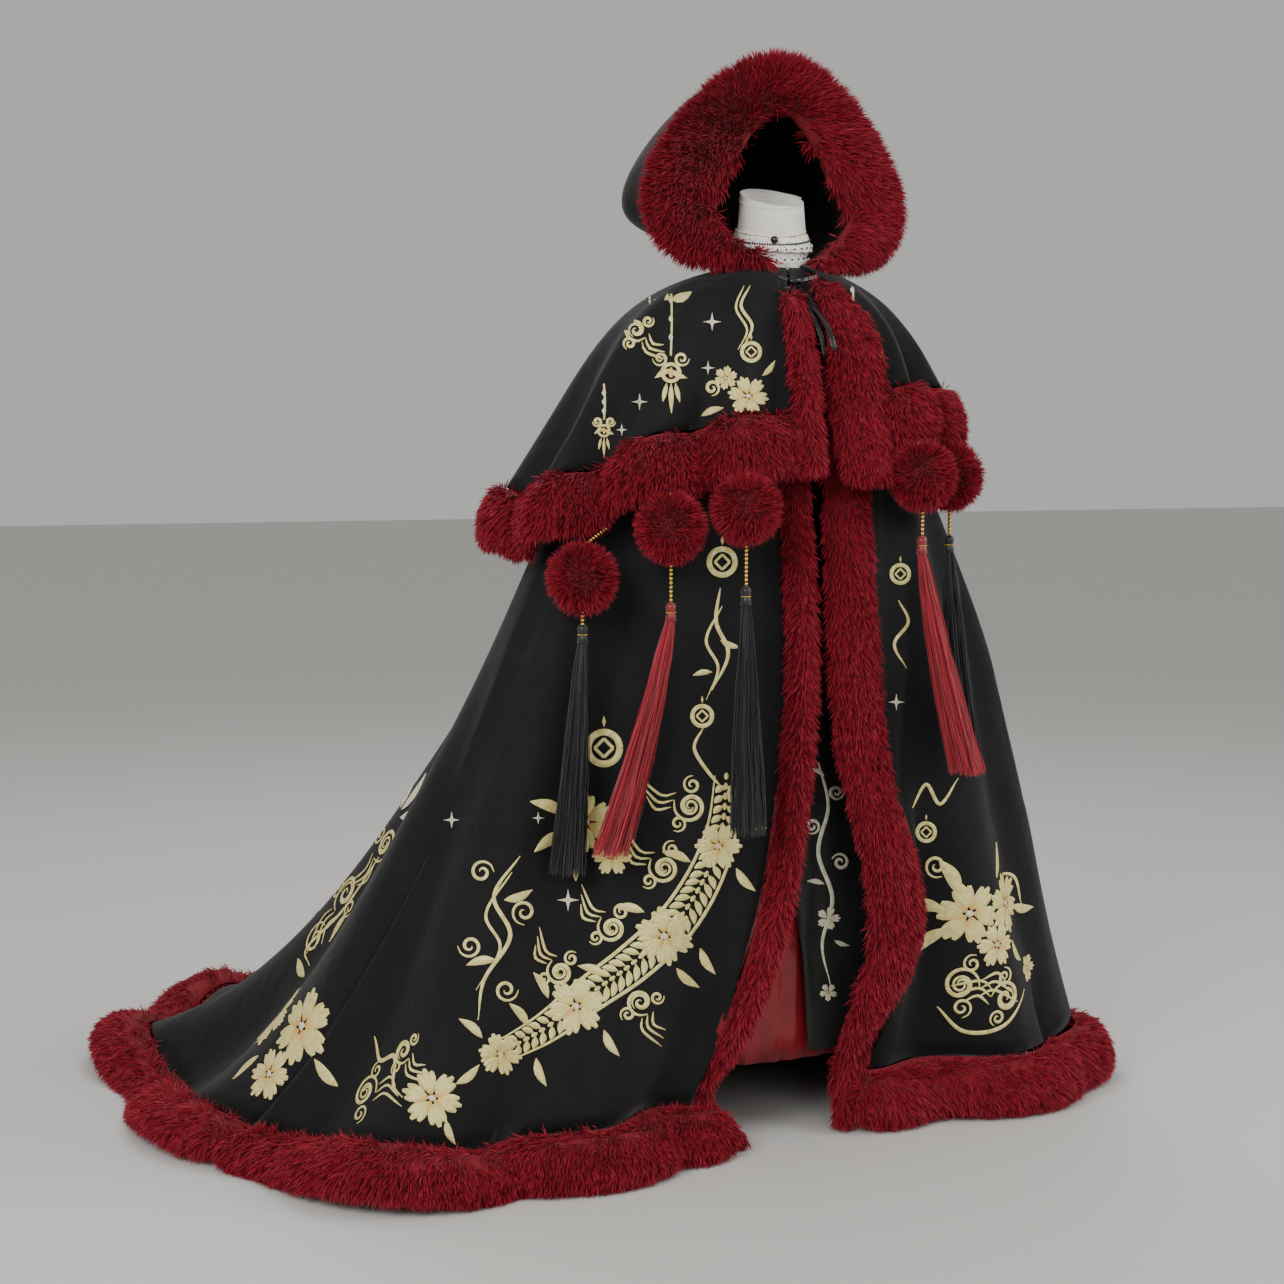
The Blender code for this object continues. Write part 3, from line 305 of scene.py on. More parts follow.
def ripple(points, depth, middle=(0.0, 0.05)):
    """Points moved level outward by soft ripples that run down the cloth."""
    level = points[:, :2] - np.array(middle)
    far = np.linalg.norm(level, axis=1)
    around = np.arctan2(level[:, 1], level[:, 0])
    drop = -points[:, 2]
    wave = (np.sin(around * 17 + 2.2 * np.sin(drop * 2.3))
            + 0.6 * np.sin(around * 26 - 1.7 * np.cos(drop * 3.1 + around))
            + 0.3 * np.sin(around * 35 + drop * 2.0))
    grow = np.clip((drop - RIPPLE_START) / RIPPLE_GROWTH, 0, 1)
    points[:, :2] += level / far[:, None] * (wave * depth * grow)[:, None]
    return points


def dress(node, finish, levels=2, ripples=0.0):
    """A length of cloth that takes a frame solid's place."""
    mesh = rounded(node, levels)
    if ripples:
        mesh.vertices.foreach_set("co", ripple(mesh_points(mesh), ripples).ravel())
    cloth = link(node + "_cloth", mesh, finish)
    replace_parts(cloth, node)
    return cloth


cloth_of = {}
for node in solids:
    if node.startswith("cloak_") and "fur" not in node:
        cloth_of[node] = dress(node, black_wool, 2, 0.0036)
    elif node.startswith("cape_") and "fur" not in node:
        cloth_of[node] = dress(node, black_wool, 2, 0.0030)
    elif node in ("hood_right", "hood_left"):
        cloth_of[node] = dress(node, black_wool, 2)
    elif node.startswith(("robe_", "sleeve_")):
        cloth_of[node] = dress(node, robe_silk, 2, 0.0020)
    elif node == "underskirt":
        cloth_of[node] = dress(node, red_satin, 2, 0.0035)
    elif node.startswith("ribbon_"):
        dress(node, ribbon_satin, 2)
    elif node == "stand_collar":
        cloth_of[node] = dress(node, white_cotton, 2)
print("cloth pieces", len(cloth_of))

# %% [markdown]
# ## Fur
# Long pile fur is a knitted backing with thousands of hairs. Each hair is drawn darker at the root and
# paler at the tip: painted shade deep in the pile and painted light on the tips.
# Hair curves could grow on it, but they aren't meshes, and a plain exported model would lose them. So
# each frame band becomes a backing a few millimetres smaller, and seeded hairs of mesh stand on it. A
# hair is a kite of two triangles, widest and bent at its middle. The hairs lean the way the fur is
# brushed, and soft waves in their direction gather them into tufts.

# %% The fur's two finishes
# Dyed fur hair, brushed: each hair is satin, and the pile together looks soft and deep.
hair_finish, hair_shader = new_finish("crimson_hair", {
    "Roughness": 0.60, "Specular IOR Level": 0.25, "Sheen Weight": 0.08, "Sheen Roughness": 0.4})
shade_along_hair = add_node(hair_finish, "ShaderNodeAttribute", {"attribute_name": "along"})
# The ramp is the crimson dye, darker toward the root as painted shade in the pile and paler at the tip as
# painted light.
HAIR_DYE_AND_SHADE_TONES = ((0.0, "#60091a"), (0.35, "#7f0e20"), (0.70, "#911326"), (1.0, "#a62a3d"))
hair_colour = shade(hair_finish, HAIR_DYE_AND_SHADE_TONES, shade_along_hair.outputs["Fac"])
hair_finish.node_tree.links.new(hair_colour, hair_shader.inputs["Base Color"])

# The backing is matt and dark, and shows only as shade between the hairs.
backing_finish, backing_shader = new_finish("fur_backing", {"Roughness": 0.9})
backing_place = add_node(backing_finish, "ShaderNodeTexCoord").outputs["Object"]
backing_noise = add_node(backing_finish, "ShaderNodeTexNoise", inputs={
    "Vector": backing_place, "Scale": per_metre(5), "Detail": 3.0})
backing_colour = shade(backing_finish, ((0.3, "#690b19"), (0.7, "#860f20")),
                       backing_noise.outputs["Fac"])
backing_finish.node_tree.links.new(backing_colour, backing_shader.inputs["Base Color"])

print("fur finishes", hair_finish.name, backing_finish.name)

# %% Hairs on a backing
HAIR_ROOT_DEPTH = 0.009
HAIR_HALF_WIDTH = 0.00085
HAIR_WIDTH_SPREAD = 0.00040
HAIR_BEND_AT = 0.55
HAIR_ABOVE_FLOOR = 0.0008
SHORTEST_SHARE = 0.70
LENGTH_SPREAD = 0.5
SMALL_TUFT = 0.034
LARGE_TUFT = 0.090
# How much the brushing, the two sizes of tuft and chance turn a hair from straight out.
BRUSHED_SHARE = 0.75
SMALL_TUFT_SHARE = 0.24
LARGE_TUFT_SHARE = 0.20
STRAY = 0.13
BEND_STRAY = 0.12
# The tone at the foot, at both sides of the middle and at the tip, and how it varies. The dark foot is
# painted shade deep in the pile, and the pale tip is painted light.
PAINTED_SHADE_ALONG_HAIR = (0.08, 0.55, 0.55, 0.95)
TONE_SPREAD = 0.09
TONE_PATCH = 0.060
TONE_PATCH_DEPTH = 0.05


def unit(vectors):
    """Rows of an array made one long."""
    return vectors / np.maximum(np.linalg.norm(vectors, axis=1, keepdims=True), 1e-9)


def triangles_of(mesh):
    """Points, triangles and point normals of a mesh, as arrays."""
    mesh.calc_loop_triangles()
    faces = np.empty(len(mesh.loop_triangles) * 3, dtype=np.int64)
    mesh.loop_triangles.foreach_get("vertices", faces)
    normals = np.empty(len(mesh.vertices) * 3)
    mesh.vertex_normals.foreach_get("vector", normals)
    return mesh_points(mesh), faces.reshape(-1, 3), normals.reshape(-1, 3)


def mesh_of(name, points, faces):
    """A mesh from arrays of points and triangles."""
    mesh = bpy.data.meshes.new(name)
    mesh.vertices.add(len(points))
    mesh.vertices.foreach_set("co", np.ascontiguousarray(points, dtype=np.float32).ravel())
    mesh.loops.add(faces.size)
    mesh.loops.foreach_set("vertex_index", np.ascontiguousarray(faces, dtype=np.int32).ravel())
    mesh.polygons.add(len(faces))
    mesh.polygons.foreach_set("loop_start", np.arange(0, faces.size, 3, dtype=np.int32))
    mesh.update(calc_edges=True)
    mesh.shade_smooth()
    return mesh


def tufts(points, size):
    """A smooth field of directions over space, which gathers hairs into tufts of about this size."""
    scale = 2 * math.pi / size
    x, y, z = (points * scale).T
    return np.stack((np.sin(y + 1.3 * np.sin(z * 0.7)) + np.sin(z * 1.6 + 0.4),
                     np.sin(z + 1.1 * np.sin(x * 0.8)) + np.sin(x * 1.7 + 1.9),
                     np.sin(x + 1.2 * np.sin(y * 0.9)) + np.sin(y * 1.5 + 3.1)), axis=1) * 0.5


def grow_hair(name, mesh, count, long, brushed, seed, stand=0.72, fall=0.45):
    """Seeded hairs over a mesh; brushed gives, for each root, the way the fur lies."""
    points, faces, normals = triangles_of(mesh)
    rng = np.random.default_rng(seed)
    a, b, c = (points[faces[:, k]] for k in range(3))
    areas = np.linalg.norm(np.cross(b - a, c - a), axis=1)
    chosen = rng.choice(len(faces), size=count, p=areas / areas.sum())
    u, v = rng.random((2, count))
    over = u + v > 1
    u[over], v[over] = 1 - u[over], 1 - v[over]
    weights = np.stack((1 - u - v, u, v), axis=1)[:, :, None]
    root = (points[faces[chosen]] * weights).sum(axis=1)
    out = unit((normals[faces[chosen]] * weights).sum(axis=1))
    way = unit(out * stand + brushed(root) * BRUSHED_SHARE + tufts(root, SMALL_TUFT) * SMALL_TUFT_SHARE
               + tufts(root, LARGE_TUFT) * LARGE_TUFT_SHARE + rng.normal(0, STRAY, (count, 3)))
    reach = (long * (SHORTEST_SHARE + LENGTH_SPREAD * rng.random(count)))[:, None]
    foot = root - out * HAIR_ROOT_DEPTH
    bend = unit(way + np.array((0, 0, -fall)) + rng.normal(0, BEND_STRAY, (count, 3)))
    middle = foot + way * reach * HAIR_BEND_AT
    tip = middle + bend * reach * (1 - HAIR_BEND_AT)
    across = unit(np.cross(way, rng.normal(0, 1, (count, 3))))
    wide = HAIR_HALF_WIDTH + HAIR_WIDTH_SPREAD * rng.random((count, 1))
    rows = np.stack((foot, middle - across * wide, middle + across * wide, tip), axis=1)
    rows[:, :, 2] = np.maximum(rows[:, :, 2], FLOOR_HEIGHT + HAIR_ABOVE_FLOOR)
    first = np.arange(count)[:, None, None] * 4
    pattern = np.array(((0, 2, 1), (1, 2, 3)))[None]
    hair = mesh_of(name, rows.reshape(-1, 3), (first + pattern).reshape(-1, 3))
    tone = rng.normal(0, TONE_SPREAD, (count, 1)) + tufts(root, TONE_PATCH)[:, :1] * TONE_PATCH_DEPTH
    # A hair's tone runs from dark at its foot, painted shade deep in the pile, to pale at its tip, painted
    # light.
    along = np.clip(np.array(PAINTED_SHADE_ALONG_HAIR)[None] + tone, 0, 1)
    layer = hair.attributes.new("along", "FLOAT", "POINT")
    layer.data.foreach_set("value", along.astype(np.float32).ravel())
    return hair


def fur(node, count, long, brushed, seed, stand=0.72, fall=0.45, shrink=0.006):
    """A backing and its hairs in place of one frame solid."""
    mesh = rounded(node, 2, firm_edges=False)
    pile = grow_hair(node + "_hair", mesh, count, long, brushed, seed, stand, fall)
    hair = link(node + "_hair", pile, hair_finish)
    points, _, normals = triangles_of(mesh)
    mesh.vertices.foreach_set("co", (points - normals * shrink).ravel())
    backing = link(node + "_backing", mesh, backing_finish)
    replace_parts(backing, node)
    return len(hair.data.polygons)


# %% [markdown]
# ## Brushing the fur
# Along the hems the pile is brushed down and out. Along the front edges it is brushed down and a
# little forward, and round the hood it lies away from the opening. A pompom's pile stands straight out
# all round. A comb could be drawn by hand on each band, but a short formula for each kind of band gives
# the same lie on both sides of a seam.

# %% Fur on every band
SET_MIDDLE = (-0.10, 0.15, 0)
HOOD_OPENING_MIDDLE = (0, -0.06, 0.17)


def down_and_out(roots):
    """Away from the set's middle, and down."""
    level = roots * np.array((1, 1, 0)) - np.array(SET_MIDDLE)
    return unit(unit(level) * 0.6 + np.array((0, 0, -0.8)))


def down(roots):
    """Down and a little forward."""
    return np.repeat(np.array([[0.0, -0.25, -0.97]]), len(roots), axis=0)


def away_from_opening(roots):
    """Out from the middle of the hood's opening, in the opening's own plane."""
    spread = roots - np.array(HOOD_OPENING_MIDDLE)
    spread[:, 1] = 0
    return unit(unit(spread) * 0.9 + np.array((0, -0.25, -0.15)))


def no_way(roots):
    """Not brushed at all."""
    return np.zeros_like(roots)


BAND_PILE = 0.026
HOOD_PILE = 0.032
POMPOM_PILE = 0.024
HAIR_COUNTS = {
    "cloak_fur_hem_right_front": 36000, "cloak_fur_hem_back_right": 36000,
    "cloak_fur_hem_back_left": 18000, "cloak_fur_hem_left_front": 24000,
    "cloak_fur_front_right": 18000, "cloak_fur_front_left": 32000,
    "cape_fur_hem_right": 28000, "cape_fur_hem_back": 20000, "cape_fur_hem_left": 17000,
    "cape_fur_front_right": 6000, "cape_fur_front_left": 13000,
}
hair_total = 0
for number, (node, count) in enumerate(HAIR_COUNTS.items()):
    hair_total += fur(node, count, BAND_PILE, down_and_out if "hem" in node else down, 10 + number)
hair_total += fur("hood_fur", 43000, HOOD_PILE, away_from_opening, 40, stand=0.55, fall=0.25)
for number in range(1, 6):
    hair_total += fur("pompom_%d" % number, 5200, POMPOM_PILE, no_way, 50 + number, 1.0, 0.15, 0.012)
print("hair triangles", hair_total)

# %% [markdown]
# ## Thread and beads
# Beads are smooth and hard. Embroidery thread is rayon: bright along its length, with a ridge at
# every pass of the needle. Modelled ridges would cost a great many triangles, so a bump draws them.
# They follow each stroke's own length, in metres, and are drawn 3 mm apart, because a true thread of
# 0.4 mm is too fine to show.

# %% Thread and bead finishes
# Plated plastic, moulded and polished: a warm mirror, small enough to show as a glint.
gold_bead, _ = new_finish("gold_bead_metal", {
    "Base Color": from_hex("#d8b25a"), "Metallic": 1.0, "Roughness": 0.24})
# Imitation pearl, glass dipped in lacquer: milky, with one soft highlight under a clear coat.
pearl, _ = new_finish("pearl_bead", {
    "Base Color": from_hex("#ece7dc"), "Roughness": 0.22, "Coat Weight": 0.5})
# Jet glass, pressed and fire polished: black with a sharp highlight.
jet_bead, _ = new_finish("jet_bead", {
    "Base Color": from_hex("#0b0b0f"), "Roughness": 0.12, "Coat Weight": 0.6})


STITCH_MM = 3.0
THREAD_TONE_MM = 14


def stitched(name, dark, light, sockets):
    """Satin stitch: threads side by side across each stroke, with a slight change of tone."""
    finish, shader = new_finish(name, sockets)
    place = add_node(finish, "ShaderNodeUVMap", {"uv_map": "stroke"}).outputs["UV"]
    passes = add_node(finish, "ShaderNodeTexWave", {"bands_direction": "Y"}, {
        "Vector": place, "Scale": bands(STITCH_MM), "Distortion": 1.5, "Detail": 1.0})
    tone = add_node(finish, "ShaderNodeTexNoise", inputs={
        "Vector": place, "Scale": per_metre(THREAD_TONE_MM), "Detail": 2.0})
    colour = shade(finish, ((0.30, dark), (0.65, light)), tone.outputs["Fac"])
    finish.node_tree.links.new(colour, shader.inputs["Base Color"])
    ridges = add_node(finish, "ShaderNodeBump", inputs={
        "Height": passes.outputs["Fac"], "Strength": 0.5, "Distance": 0.0008})
    finish.node_tree.links.new(ridges.outputs["Normal"], shader.inputs["Normal"])
    return finish


THREADS = {
    "gold": stitched("pale_gold_thread", "#cdbb62", "#f0e6a4", {"Roughness": 0.42, "Metallic": 0.15}),
    "peach": stitched("peach_gold_thread", "#d39a3e", "#f2cf86", {"Roughness": 0.45, "Metallic": 0.1}),
    "silver": stitched("ivory_thread", "#cfc9ac", "#f1ecd4", {"Roughness": 0.42, "Metallic": 0.1}),
}
print("beads", [m.name for m in (gold_bead, pearl, jet_bead)], "threads", sorted(THREADS))

# %% [markdown]
# ## Embroidery
# The motifs are common ones: blossoms, leaves, curls of cloud, coins, stars and hanging charms. They
# could be painted on the cloth as an image, but thread stands proud and catches the light, so each
# motif is strokes of mesh, drawn on the picture plane. Where the cloth faces the view, a stroke is laid
# on it by following the view back to it. Where the cloth turns away, a whole motif is laid flat on the
# cloth round one spot, so that it keeps its shape. A stroke is a strip five points wide with a raised
# middle, as padded satin stitch has.

# %% Strokes that lie on the cloth
def carrier_tree(prefix):
    """A search tree of all the cloths whose frame names start like this."""
    points = []
    faces = []
    for node, cloth in cloth_of.items():
        if node.startswith(prefix):
            spots, corners, _ = triangles_of(cloth.data)
            faces += (corners + len(points)).tolist()
            points += spots.tolist()
    return BVHTree.FromPolygons(points, faces)


carriers = {"cloak": carrier_tree("cloak_"), "cape": carrier_tree("cape_"), "robe": carrier_tree("robe_")}
eye = Vector(camera.location)


def on_cloth(tree, x, y):
    """Where a spot of the picture lies on a cloth, and the cloth's normal there."""
    ray = camera_turn @ Vector(((x - PICTURE_SIDE / 2) / FOCAL_PIXELS,
                                (PICTURE_SIDE / 2 - y) / FOCAL_PIXELS, -1))
    spot, normal, _, _ = tree.ray_cast(eye, ray.normalized())
    if spot is not None and normal.dot(ray) > 0:
        normal = -normal
    return spot, normal


LOOK_ROUND = 0.15
LOOK_BESIDE = ((-24, 0), (24, 0), (0, -24), (0, 24))


def laid_flat(tree, anchor):
    """A way to place picture spots on the cloth's own plane round one spot, level with the ground."""
    middle, facing = on_cloth(tree, *anchor)
    for right, low in LOOK_BESIDE:
        facing += on_cloth(tree, anchor[0] + right, anchor[1] + low)[1] or Vector()
    facing.normalize()
    up = (Vector((0, 0, 1)) - facing * facing.z).normalized()
    across = up.cross(facing)
    pixel = (middle - eye).length / FOCAL_PIXELS

    def place(_, x, y):
        start = middle + (across * (x - anchor[0]) + up * (anchor[1] - y)) * pixel + facing * LOOK_ROUND
        spot, normal, _, _ = tree.ray_cast(start, -facing, LOOK_ROUND * 2)
        if spot is not None and normal.dot(facing) < 0:
            normal = -normal
        return spot, normal
    return place


STROKE_STEP = 4.0


def smooth_path(points, step=STROKE_STEP):
    """Points about a step apart on a smooth curve through the given ones."""
    ends = [2 * np.subtract(points[0], 0) - points[1]] + [np.array(p, float) for p in points]
    ends.append(2 * np.array(points[-1], float) - points[-2])
    path = []
    for p0, p1, p2, p3 in zip(ends, ends[1:], ends[2:], ends[3:]):
        count = max(2, int(np.linalg.norm(p2 - p1) / step))
        for k in range(count):
            t = k / count
            path.append(0.5 * (2 * p1 + (p2 - p0) * t + (2 * p0 - 5 * p1 + 4 * p2 - p3) * t ** 2
                               + (3 * p1 - p0 - 3 * p2 + p3) * t ** 3))
    path.append(ends[-2])
    return path


def tapered(share):
    """Thin at both ends."""
    return 0.25 + 0.75 * math.sin(math.pi * min(1, share * 1.05)) ** 0.6


def petal_shaped(share):
    """Widest past the middle and blunt at the tip."""
    return math.sin(math.pi * min(0.97, 0.06 + share * 0.86)) ** 0.75


def leaf_shaped(share):
    """Widest in the middle and pointed."""
    return max(0.06, math.sin(math.pi * share) ** 0.8 * (1 - 0.25 * share))


def even(share):
    """As wide all along."""
    return 1.0


STEPS_ACROSS = (-1.0, -0.5, 0.0, 0.5, 1.0)
THREAD_LIFT = 0.0009
STITCH_CROWN = 0.0016
FULL_CROWN_WIDTH = 7
MOST_STRETCH = 2.6
ROW_SLACK = 0.004
VIEW_DISTANCE = 4


def sew(name, carrier, strokes, anchor=None):
    """One mesh for each thread colour, from strokes of (thread, points, width, shape)."""
    made = 0
    where = laid_flat(carriers[carrier], anchor) if anchor else on_cloth
    for thread in sorted({stroke[0] for stroke in strokes}):
        points, faces, marks = [], [], []
        for _, path, width, shape in (s for s in strokes if s[0] == thread):
            line = smooth_path(path)
            length = 0.0
            before = None
            for i, spot in enumerate(line):
                along = np.subtract(line[min(i + 1, len(line) - 1)], line[max(i - 1, 0)])
                side = np.array((-along[1], along[0])) / max(np.linalg.norm(along), 1e-6)
                half = width / 2 * shape(i / (len(line) - 1))
                row = []
                for across in STEPS_ACROSS:
                    at = spot + side * across * half
                    place, normal = where(carriers[carrier], *at)
                    if place is None:
                        break
                    crown = STITCH_CROWN * (1 - across ** 2) * min(1, width / FULL_CROWN_WIDTH)
                    row.append(place + normal * (THREAD_LIFT + crown))
                pixel = (row[0] - eye).length / FOCAL_PIXELS if row else 0
                widest = half * 2 * pixel * MOST_STRETCH + ROW_SLACK
                if len(row) < len(STEPS_ACROSS) or (row[-1] - row[0]).length > widest:
                    before = None
                    continue
                start = len(points)
                if before is not None:
                    step = (row[2] - points[before + 2]).length
                    length += step
                    if step < STROKE_STEP * pixel * MOST_STRETCH:
                        faces += [(before + k, before + k + 1, start + k + 1, start + k)
                                  for k in range(len(row) - 1)]
                points += row
                marks += [(across * half / FOCAL_PIXELS * VIEW_DISTANCE, length)
                          for across in STEPS_ACROSS]
                before = start
        mesh = bpy.data.meshes.new(name + "_" + thread)
        mesh.from_pydata(points, [], faces)
        uv = mesh.uv_layers.new(name="stroke")
        corners = np.empty(len(mesh.loops), dtype=np.int64)
        mesh.loops.foreach_get("vertex_index", corners)
        uv.data.foreach_set("uv", np.array(marks)[corners].ravel())
        mesh.shade_smooth()
        link(name + "_" + thread, mesh, THREADS[thread])
        made += len(faces)
    print(name, "stitched squares", made)


# %% [markdown]
# ## A few motifs
# Each motif returns its strokes. Angles are in degrees, sizes in picture pixels, and a pixel is
# about 1.8 mm on the cloth. A flower's petals are sewn in three lobes with a line of cloth between
# them, which keeps it readable from across a room.

# %% Motifs
def turned(x, y, angle, length):
    """The spot this far from another one, at an angle."""
    return (x + length * math.cos(math.radians(angle)), y + length * math.sin(math.radians(angle)))


def leaf(x, y, length, angle, thread="gold", fat=0.34):
    """A pointed leaf with a slight bend."""
    return [(thread, [(x, y), turned(x, y, angle + 9, length * 0.5), turned(x, y, angle, length)],
             length * fat, leaf_shaped)]


def blossom(x, y, size, angle=0, petals=6, thread="gold", heart="peach"):
    """A layered flower: a ring of three lobed petals, a smaller ring and a heart."""
    strokes = []
    for ring_size, ring_turn, count, ring_thread in ((1.0, 0, petals, thread),
                                                     (0.58, 28, petals - 1, heart)):
        for k in range(count):
            way = angle + ring_turn + 360 * k / count
            for lobe, reach in ((-15, 0.90), (15, 0.90), (0, 1.0)):
                out = size * ring_size
                strokes.append((ring_thread, [turned(x, y, way + lobe * 0.3, out * 0.22),
                                              turned(x, y, way + lobe * 0.9, out * 0.62 * reach),
                                              turned(x, y, way + lobe, out * reach)],
                                out * 0.31, petal_shaped))
    strokes.append(("silver", [turned(x, y, angle, -size * 0.12), (x, y), turned(x, y, angle, size * 0.12)],
                    size * 0.22, petal_shaped))
    return strokes


def curl(x, y, size, angle=0, hand=1, thread="gold", width=3.4):
    """A curl of cloud that winds in to its middle."""
    path = [turned(x, y, angle + hand * 540 * (1 - f), size * (0.16 + 0.84 * f)) for f in
            [1 - k / 16 for k in range(17)]]
    return [(thread, path, width, tapered)]


def coin(x, y, size, thread="gold"):
    """A round coin with a square hole and a small knot above it."""
    ring = [turned(x, y, 30 * k, size) for k in range(13)]
    strokes = [(thread, ring, size * 0.42, even),
               (thread, [(x, y - size * 1.3), (x, y - size * 2.0)], size * 0.3, leaf_shaped)]
    for k in range(4):
        strokes.append((thread, [turned(x, y, 90 * k, size * 0.58), turned(x, y, 90 * k + 90, size * 0.58)],
                        size * 0.20, even))
    return strokes


def cloud(x, y, size, angle=0, hand=1, thread="gold"):
    """A curled cloud with two smaller curls beside it and a trailing tail of three lines."""
    strokes = curl(x, y, size, angle, hand, thread, 4.2)
    strokes += curl(x, y, size * 0.62, angle + 70, hand, thread, 2.6)
    for side, share in ((75, 0.55), (-75, 0.50)):
        beside = turned(x, y, angle + side, size * 1.25)
        strokes += curl(*beside, size * share, angle + side, hand, thread, 3.0)
    for shift in (-0.45, 0.0, 0.45):
        start = turned(*turned(x, y, angle, size * 1.05), angle + 90, size * shift)
        strokes.append((thread, [start, turned(*start, angle + 28 * hand, size * 0.9),
                                 turned(*start, angle - 4 * hand, size * (2.0 + shift))], 2.8, tapered))
    return strokes


def garland(path, half, thread="gold"):
    """A broad band: a line along each edge, a herringbone of leaves, and a row of seeds in the middle."""
    strokes = []
    line = smooth_path(path, 9.0)
    edges = ([], [])
    for i, spot in enumerate(line):
        along = np.subtract(line[min(i + 1, len(line) - 1)], line[max(i - 1, 0)])
        way = math.degrees(math.atan2(along[1], along[0]))
        share = i / (len(line) - 1)
        wide = half * (0.35 + 0.65 * math.sin(math.pi * min(1, 0.12 + share * 0.8)))
        seed = [turned(*spot, way, -3.4), spot, turned(*spot, way, 3.4)]
        strokes.append((thread, seed, 4.6, petal_shaped))
        for side, edge in ((90, edges[0]), (-90, edges[1])):
            edge.append(turned(*spot, way + side, wide))
            if 0 < i < len(line) - 1:
                strokes.append((thread, [turned(*spot, way + side, wide * 0.14),
                                         turned(*spot, way + side * 0.72, wide * 0.62),
                                         turned(*spot, way + side * 0.60, wide * 1.02)], 8.0, leaf_shaped))
    strokes += [(thread, edges[0], 3.6, tapered), (thread, edges[1], 3.6, tapered)]
    return strokes


def star(x, y, size, thread="silver"):
    """A star of four thin points."""
    return [(thread, [turned(x, y, 90 * k, reach) for reach in (0.5, size * 0.5, size)],
             size * 0.42, lambda share: max(0.08, 1 - share)) for k in range(4)]


def vine(path, width=4.0, thread="gold"):
    """One winding stem."""
    return [(thread, path, width, tapered)]


def charm(x, y, long, size):
    """A hanging charm: a beaded thread, a winged ring, a diamond and three drops."""
    foot = y + long
    strokes = [("gold", [(x, y), (x + 1, y + long * 0.5), (x, foot)], 2.0, even)]
    for share in (0.25, 0.5, 0.75):
        bead = [(x, y + long * share - 3), (x, y + long * share + 3)]
        strokes.append(("silver", bead, 4.6, petal_shaped))
    for hand in (1, -1):
        strokes += curl(x + hand * size * 0.75, foot + size * 0.2, size * 0.55, 90 - hand * 90, hand,
                        "gold", 2.8)
        strokes += leaf(x, foot + size * 1.0, size * 1.25, 90 - hand * 62, "gold", 0.40)
    strokes.append(("gold", [turned(x, foot + size * 1.2, 45 * k, size * 0.62) for k in range(9)],
                    size * 0.26, even))
    strokes.append(("peach", [(x, foot + size * 0.85), (x, foot + size * 1.55)], size * 0.42, petal_shaped))
    for shift in (-0.6, 0, 0.6):
        low = foot + size * (4.1 if shift == 0 else 3.3)
        strokes.append(("gold", [(x + size * shift * 0.5, foot + size * 1.95), (x + size * shift, low)],
                        size * 0.40, leaf_shaped))
    return strokes


def spray(x, y, size, angle):
    """A blossom with three leaves behind it."""
    strokes = []
    for shift in (-50, 0, 50):
        strokes += leaf(*turned(x, y, angle + shift, size * 0.7), size * 1.3, angle + shift)
    return strokes + blossom(x, y, size, angle)


# %% [markdown]
# ## Where the motifs go
# Charms and small flowers hang over the cape. On the cloak a flowering band climbs from the hem
# towards the opening, and loose sprays lie on the train and on the left side. Those last ones turn
# away from the view, so each group there is laid flat round one spot.

# %% Embroider the cape, the cloak and the robe
cape_strokes = (charm(671, 282, 74, 14) + charm(852, 268, 44, 10) + charm(604, 384, 36, 9)
                + leaf(671, 300, 22, 200, "gold", 0.5) + leaf(671, 300, 22, -20, "gold", 0.5)
                + cloud(636, 330, 12, 40) + star(650, 300, 6) + star(712, 322, 9) + star(708, 368, 7)
                + star(640, 402, 8) + vine([(750, 286), (741, 306), (752, 326), (744, 346)], 3.2)
                + vine([(744, 286), (736, 308), (747, 330), (738, 350)], 2.4)
                + coin(751, 352, 9) + blossom(748, 396, 20, 10) + blossom(726, 378, 12, 40)
                + leaf(724, 408, 24, 160) + leaf(762, 376, 20, -50) + leaf(734, 416, 22, 110)
                + curl(712, 388, 8, 90, -1) + blossom(872, 358, 13, 15) + leaf(874, 374, 18, 80)
                + leaf(862, 364, 16, 160) + curl(868, 394, 8, 0) + star(622, 430, 6) + star(840, 300, 6))
sew("cape_embroidery", "cape", cape_strokes)

garland_path = [(726, 776), (722, 826), (706, 874), (676, 922),
                (634, 962), (590, 994), (542, 1030), (484, 1060)]
cloak_strokes = (coin(722, 562, 13) + vine([(720, 588), (716, 622), (728, 654), (712, 690)], 4.0)
                 + vine([(722, 606), (706, 640), (718, 668), (706, 700)], 3.0)
                 + leaf(720, 640, 22, 20) + leaf(712, 672, 20, 170) + coin(702, 716, 10)
                 + vine([(703, 728), (694, 748), (708, 772), (724, 790)], 3.6)
                 + garland(garland_path, 19) + coin(604, 748, 16)
                 + cloud(690, 806, 17, 200, -1) + cloud(742, 800, 11, -70) + cloud(664, 868, 16, 215, -1)
                 + cloud(612, 928, 15, 225, -1) + cloud(560, 972, 14, 235, -1) + cloud(640, 1002, 14, 60)
                 + blossom(718, 846, 24, 0) + blossom(664, 936, 30, 20) + blossom(576, 1006, 30, 45)
                 + blossom(500, 1054, 22, 10) + spray(586, 822, 30, 150) + blossom(612, 856, 20, 0)
                 + star(568, 900, 11) + star(640, 770, 7) + star(538, 818, 6)
                 + vine([(520, 856), (494, 896), (510, 936), (484, 980), (478, 1020)], 4.2)
                 + vine([(512, 872), (486, 914), (500, 948), (476, 990)], 3.0))
